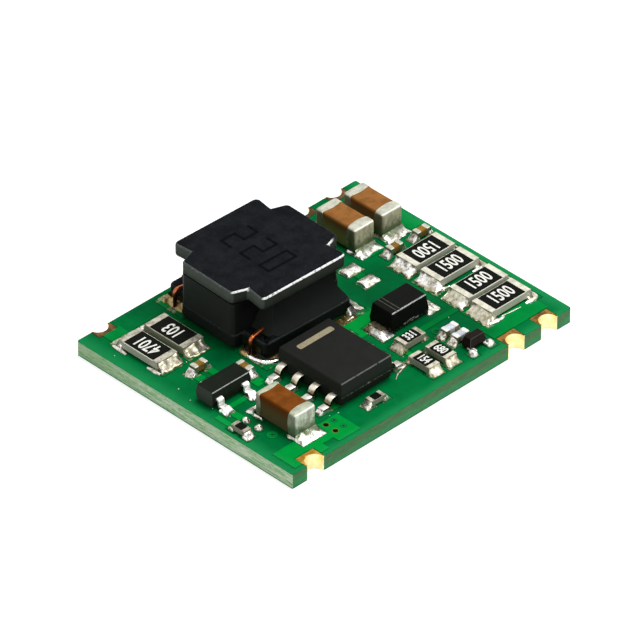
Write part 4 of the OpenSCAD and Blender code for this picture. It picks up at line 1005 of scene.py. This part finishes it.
# Specks of solder on the mask: place and radius of each
SPECK_SUNK = 0.012
SPECKS = [
    (-9.72, 1.3, 0.045), (-9.4, 3.55, 0.03), (-10.1, 5.9, 0.03), (-9.95, 0.15, 0.035), (-9.6, -1.2, 0.028),
    (-7.75, 2.75, 0.04), (-8.7, 1.85, 0.03), (-9.42, -2.35, 0.032), (0.9, -5.1, 0.03), (6.1, -2.85, 0.05),
    (6.35, -2.5, 0.032), (-5.1, -6.2, 0.04), (-5.6, -6.05, 0.03), (5.2, -4.3, 0.03), (3.2, -0.55, 0.03),
]
specks = Shape()
tilts = [math.pi * k / 5 for k in range(1, 5)]
for x, y, r in SPECKS:
    rings = [[(*spot, r * (1 - math.cos(t))) for spot in circle(r * math.sin(t), 8)] for t in tilts]
    loft(specks, (x, y), 0, Z_PAD - SPECK_SUNK, rings)
specks.piece("solder_specks", WHITE_TIN, "solder")
# Closed vias: rings of a shallow crater in the mask, with the radius and the lift of each
DIMPLE_RINGS = ((0.04, 0.003), (0.08, 0.007), (0.12, 0.012), (0.16, 0.008), (0.19, 0.0))
VIA_SIDES = 20
dimples = Shape()
for via in CLOSED_VIAS:
    rings = [[(*spot, lift) for spot in circle(r, VIA_SIDES)] for r, lift in DIMPLE_RINGS]
    loft(dimples, via, 0, Z_MASK, rings)
dimples.piece("closed_via_rings", VIA_RING, "solder_mask")
# Open vias: a ring painted black as the shade in the hole, wider than the hole, and a thin rim of bare
# plating round it
MOUTH_FOOT, MOUTH_TOP = -0.004, 0.003
mouths = Shape()
for via in OPEN_VIAS:
    for look, (inner, outer) in enumerate(((0.118, 0.15), (0.15, 0.185))):
        mouths.look = look
        profile = ((inner, MOUTH_FOOT), (outer, MOUTH_FOOT), (outer, MOUTH_TOP), (inner, MOUTH_TOP))
        rings = [[(*spot, z) for spot in circle(r, VIA_SIDES)] for r, z in profile]
        loft(mouths, via, 0, Z_MASK, rings, closed=True)
mouths.piece("open_via_mouths", (VIA_SHADE, VIA_WALL), "copper")


# Chip capacitors: drawn-in ends of the block, height and scale of the lumps along the edge of a cap
BLOCK_END, CAP_LUMP, CAP_GRAIN = 0.05, 0.012, 3


def ceramic_block(shape, place, turn, kind, inset, r):
    """Rounded block of a chip capacitor, with its ends inside the caps."""
    half_l, half_w, half_h = kind["l"] / 2 - r, kind["w"] / 2 - inset, kind["h"] / 2 - inset
    inner = half_l - BLOCK_END
    stops = [-half_l, -inner] + [half_l * k / 5 for k in range(-4, 5)] + [inner, half_l]
    rings = []
    for k, x in enumerate(stops):
        end = BLOCK_END if k in (0, len(stops) - 1) else 0
        rings.append([(x, y, z) for y, z in section(half_w - end, half_h - end, r)])
    loft(shape, place, turn, Z_SEAT + kind["h"] / 2, rings)


def end_caps(shape, place, turn, kind, r, bow, skin, bands=None):
    """Dipped ends with rounded corners, whose edges bow towards the middle of the chip."""
    half_w, half_h = kind["w"] / 2, kind["h"] / 2
    quarter = [math.radians(a) for a in (0, 18, 36, 54, 72, 90)]
    arc = [(-r * (1 - math.sin(a)), r * (1 - math.cos(a))) for a in quarter]
    for end, band in zip((180, 0), bands or (kind["band"], kind["band"])):
        rings = []
        flat = band - r
        stops = [(-band, 2.2 * skin), (-band, 0.6 * skin), (-band + 1.5 * skin, 0)]
        stops += [(-r - flat * f, 0) for f in (0.6, 0.3)] + arc
        for x, inset in stops:
            ring = []
            for y, z in section(half_w - inset, half_h - inset, max(r - 0.7 * inset, 0.3 * r)):
                t = min(abs(y) / half_w, abs(z) / half_h)
                near = max(0.0, -x / band) ** 2
                spot = (x * CAP_GRAIN + place[0], y * CAP_GRAIN + place[1], z * CAP_GRAIN + end)
                lump = noise.noise(Vector(spot)) * CAP_LUMP * near
                ring.append((kind["l"] / 2 + x - bow * (1 - t * t) * near + lump, y, z))
            rings.append(ring)
        loft(shape, place, turn + end, Z_SEAT + kind["h"] / 2, rings)


LEFT_BANDS, REAR_BANDS = (0.48, 0.3), (0.56, 0.52)
for name, (place, turn, *_), mat, tin, bands, cap_r in (
    ("left_capacitor", LEFT_CAPACITOR[0], TAN, LEFT_CAP_TIN, LEFT_BANDS, 0.19),
    ("rear_capacitor_1", REAR_CAPACITORS[0], BROWN, CAP_TIN, REAR_BANDS, 0.18),
    ("rear_capacitor_2", REAR_CAPACITORS[1], BROWN, CAP_TIN, REAR_BANDS, 0.18),
):
    block, caps = Shape(), Shape()
    ceramic_block(block, place, turn, BIG_CAP, 0.03, cap_r)
    end_caps(caps, place, turn, BIG_CAP, cap_r, 0.13, 0.03, bands)
    block.piece(name + "_block", mat, "brown_ceramic", name + "_ceramic", sharp=60)
    caps.piece(name + "_caps", tin, "end_tin", name + "_ends", sharp=60)
small_caps = Shape()
for look, (name, chips, mat, slot) in enumerate((
    ("brown_capacitor", BROWN_CAPACITORS, OLIVE, "brown_ceramic"),
    ("grey_capacitor", GREY_CAPACITORS, GREY, "grey_ceramic"),
)):
    block = Shape()
    small_caps.look = look
    for place, turn, *_ in chips:
        ceramic_block(block, place, turn, TINY_CAP, 0.02, 0.08)
        end_caps(small_caps, place, turn, TINY_CAP, 0.08, 0.06, 0.02)
    block.piece(name + "_blocks", mat, slot, name + "_ceramics", sharp=60)
small_tins = (CAP_TIN, GREY_CAP_TIN)
small_caps.piece("small_capacitor_caps", small_tins, "end_tin", "small_capacitor_ends", sharp=60)


# Markings: plain numbers, a pin-1 bar and a cathode band

# Half thickness of the ink, and size of the font over the height of its figures
INK, FONT_RATIO = 0.004, 1.38


def plate(name, x0, x1, y0, y1, z, mat, slot, corner=0.3):
    """Thin printed bar with slightly rounded corners."""
    cx, cy = (x0 + x1) / 2, (y0 + y1) / 2
    ring = section((x1 - x0) / 2, (y1 - y0) / 2, corner * min(x1 - x0, y1 - y0), 4, 2)
    shape = Shape()
    shape.skin([[(cx + x, cy + y, z + dz) for x, y in ring] for dz in (-INK, INK)])
    shape.piece(name, mat, slot)


def digits(name, text, place, turn, tall, squeeze, bold, z, mat, slot):
    """Plain figures, centred at a place, that stand a few microns proud."""
    curve = bpy.data.curves.new(name, "FONT")
    curve.body = text
    curve.align_x = "CENTER"
    curve.align_y = "CENTER"
    curve.size = tall * FONT_RATIO
    curve.extrude = INK
    curve.offset = bold
    curve.resolution_u = 3
    source = put(name, curve)
    bpy.context.view_layer.update()
    mesh = bpy.data.meshes.new_from_object(source.evaluated_get(bpy.context.evaluated_depsgraph_get()))
    bpy.data.objects.remove(source)
    bpy.data.curves.remove(curve)
    spin = Matrix.Translation((place[0], place[1], z)) @ Matrix.Rotation(math.radians(turn), 4, "Z")
    mesh.transform(Matrix.Scale(MM, 4) @ spin @ Matrix.Diagonal((squeeze, 1, 1, 1)))
    mesh.name = name
    mesh.materials.clear()
    mesh.materials.append(mat)
    o = put(name, mesh)
    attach(o, "root")


GLAZE_LIFT = 0.012
Z_BIG_GLAZE = Z_SEAT + BIG_RES["h"] + GLAZE_PROUD
Z_MID_GLAZE = Z_SEAT + MID_RES["h"] + GLAZE_PROUD + GLAZE_LIFT
BIG_FIGURES, MID_FIGURES = (0.92, 0.64, 0.022), (0.56, 0.66, 0.018)
for name, chips, texts, turns, figures, z in (
    ("sense", SENSE_RESISTORS, ["1500"] * 4, (180, 0, 0, 0), BIG_FIGURES, Z_BIG_GLAZE),
    ("left", LEFT_RESISTORS, ("4701", "103"), (90, 90), BIG_FIGURES, Z_BIG_GLAZE),
    ("small", MID_RESISTORS, ("331", "154", "680"), (0, -90, -90), MID_FIGURES, Z_MID_GLAZE),
):
    for k, (chip, text, turn) in enumerate(zip(chips, texts, turns), 1):
        digits(f"{name}_resistor_{k}_number", text, chip[0], turn, *figures, z, WHITE_INK, "glaze")
# Overglaze of the small resistors, which reaches across the whole chip
for name, chips, kind in (
    ("small_resistor", MID_RESISTORS, MID_RES), ("tiny_resistor", TINY_RESISTORS, TINY_RES),
):
    z = Z_SEAT + kind["h"] + GLAZE_LIFT
    for k, ((x, y), turn, *_) in enumerate(chips, 1):
        long, wide = kind["l"] / 2 - kind["band"] - 0.02, kind["w"] / 2 - 0.02
        rx, ry = (long, wide) if turn == 0 else (wide, long)
        plate(f"{name}_{k}_overglaze", x - rx, x + rx, y - ry, y + ry, z, GLAZE, "glaze", 0.1)
Z_IC_TOP = Z_SEAT + IC_GAP + IC_H
PIN_BAR = (-3.96, -1.36, -2.19, -1.79)
plate("ic_pin_bar", *PIN_BAR, Z_IC_TOP, TAN_INK, "moulding")
Z_DIODE_TOP = Z_SEAT + DIODE_H
BAND_HALF, BAND_ENDS = 0.025, (-3.12, -1.68)
for k, x in enumerate((2.4, 2.65), 1):
    plate(f"diode_band_{k}", x - BAND_HALF, x + BAND_HALF, *BAND_ENDS, Z_DIODE_TOP, GREY_INK, "moulding")
# Sunk number on top of the inductor, in plain straight strokes
STROKES = {
    "2": ("top", "right_high", "middle", "left_low", "foot"),
    "0": ("top", "right_high", "right_low", "foot", "left_low", "left_high"),
}
# Middle and half length of each stroke, in half widths and half heights of the figure
BARS = {
    "top": (0, 1, 1, 0), "middle": (0, 0, 1, 0), "foot": (0, -1, 1, 0),
    "left_high": (-1, 0.5, 0, 0.5), "right_high": (1, 0.5, 0, 0.5),
    "left_low": (-1, -0.5, 0, 0.5), "right_low": (1, -0.5, 0, 0.5),
}
FIGURE_H, FIGURE_W, FIGURE_STEP, FIGURE_SHIFT, STROKE = 2.0, 0.74, 1.53, -0.1, 0.18
HALVES = (FIGURE_W / 2, FIGURE_H / 2) * 2
# The strokes end a hair above the top and each above the last, so that no two faces share a plane
PROUD, NEXT_PROUD = 0.0002, 0.00003
number = Shape()
Z_DRUM_TOP = Z_DRUM + DRUM_H
for k, figure in enumerate("220"):
    for bar in STROKES[figure]:
        cx, cy, rx, ry = (share * half for share, half in zip(BARS[bar], HALVES))
        ring = section(rx + STROKE / 2, ry + STROKE / 2, 0.4 * STROKE, 3, 2)
        cx += (k - 1) * FIGURE_STEP
        ring = [at(DRUM_AT, DRUM_TURN - 90, cx + x, cy + y + FIGURE_SHIFT) for x, y in ring]
        level = Z_DRUM_TOP + PROUD + NEXT_PROUD * STROKES[figure].index(bar)
        number.skin([[(x, y, z) for x, y in ring] for z in (Z_DRUM_TOP - INK, level)])
number.piece("inductor_number", DARK_INK, "ferrite")


# Camera, light and floor

AZIMUTH, ELEVATION = math.radians(-44.556), math.radians(36.621)
DISTANCE, ASIDE, RAISED = 0.455819, -0.000258, 0.000988
back = Vector((
    math.sin(AZIMUTH) * math.cos(ELEVATION), -math.cos(AZIMUTH) * math.cos(ELEVATION), math.sin(ELEVATION)
))
right = Vector((math.cos(AZIMUTH), math.sin(AZIMUTH), 0))
up = back.cross(right)
camera = put("camera", bpy.data.cameras.new("camera"))
camera.data.sensor_width = 36
camera.data.lens = 472.5
camera.data.clip_start = 0.01
camera.data.clip_end = 10
turn = Matrix((right, up, back)).transposed()
place = back * DISTANCE + right * ASIDE + up * RAISED
camera.matrix_world = Matrix.Translation(place) @ turn.to_4x4()
scene.camera = camera


def area_light(name, place, size, watts):
    """Round lamp that faces the board."""
    data = bpy.data.lights.new(name, "AREA")
    data.shape = "DISK"
    data.size = size
    data.energy = watts
    o = put(name, data)
    o.location = place
    o.rotation_euler = (Vector((0, 0, 0.001)) - Vector(place)).to_track_quat("-Z", "Y").to_euler()


area_light("key", (0.025, 0.0, 0.11), 0.06, 0.1)
area_light("fill", (0.04, -0.10, 0.07), 0.08, 0.042)
area_light("side", (-0.11, -0.02, 0.04), 0.08, 0.016)

# Strength of the sky as it lights the part and as it is seen, and glow of the floor where it is seen
SKY_LIGHT, SKY_SEEN, FLOOR_GLOW = 0.3, 1.0, 0.78
FLOOR_HALF, FLOOR_GAP = 0.6, 0.00002
scene.view_settings.view_transform = "Standard"
world = bpy.data.worlds.new("studio")
scene.world = world
sky = Tree(world)
sky.fill(world.node_tree.nodes["Background"], {
    "Color": (1, 1, 1, 1), "Strength": sky.span(sky.seen(), SKY_LIGHT, SKY_SEEN),
})

floor_mesh = bpy.data.meshes.new("floor")
FLOOR_CORNERS = [(x * FLOOR_HALF, y * FLOOR_HALF, 0) for x, y in ((-1, -1), (1, -1), (1, 1), (-1, 1))]
floor_mesh.from_pydata(FLOOR_CORNERS, [], [(0, 1, 2, 3)])
floor = put("floor", floor_mesh)
floor.location.z = -FLOOR_GAP
white = Look("floor_white", (0.5, 0.5, 0.5, 1), 0.9, spec=0.0)
white.fill(white.surface, {
    "Emission Color": (1, 1, 1, 1), "Emission Strength": white.times(white.seen(), FLOOR_GLOW),
})
floor.data.materials.append(white.mat)
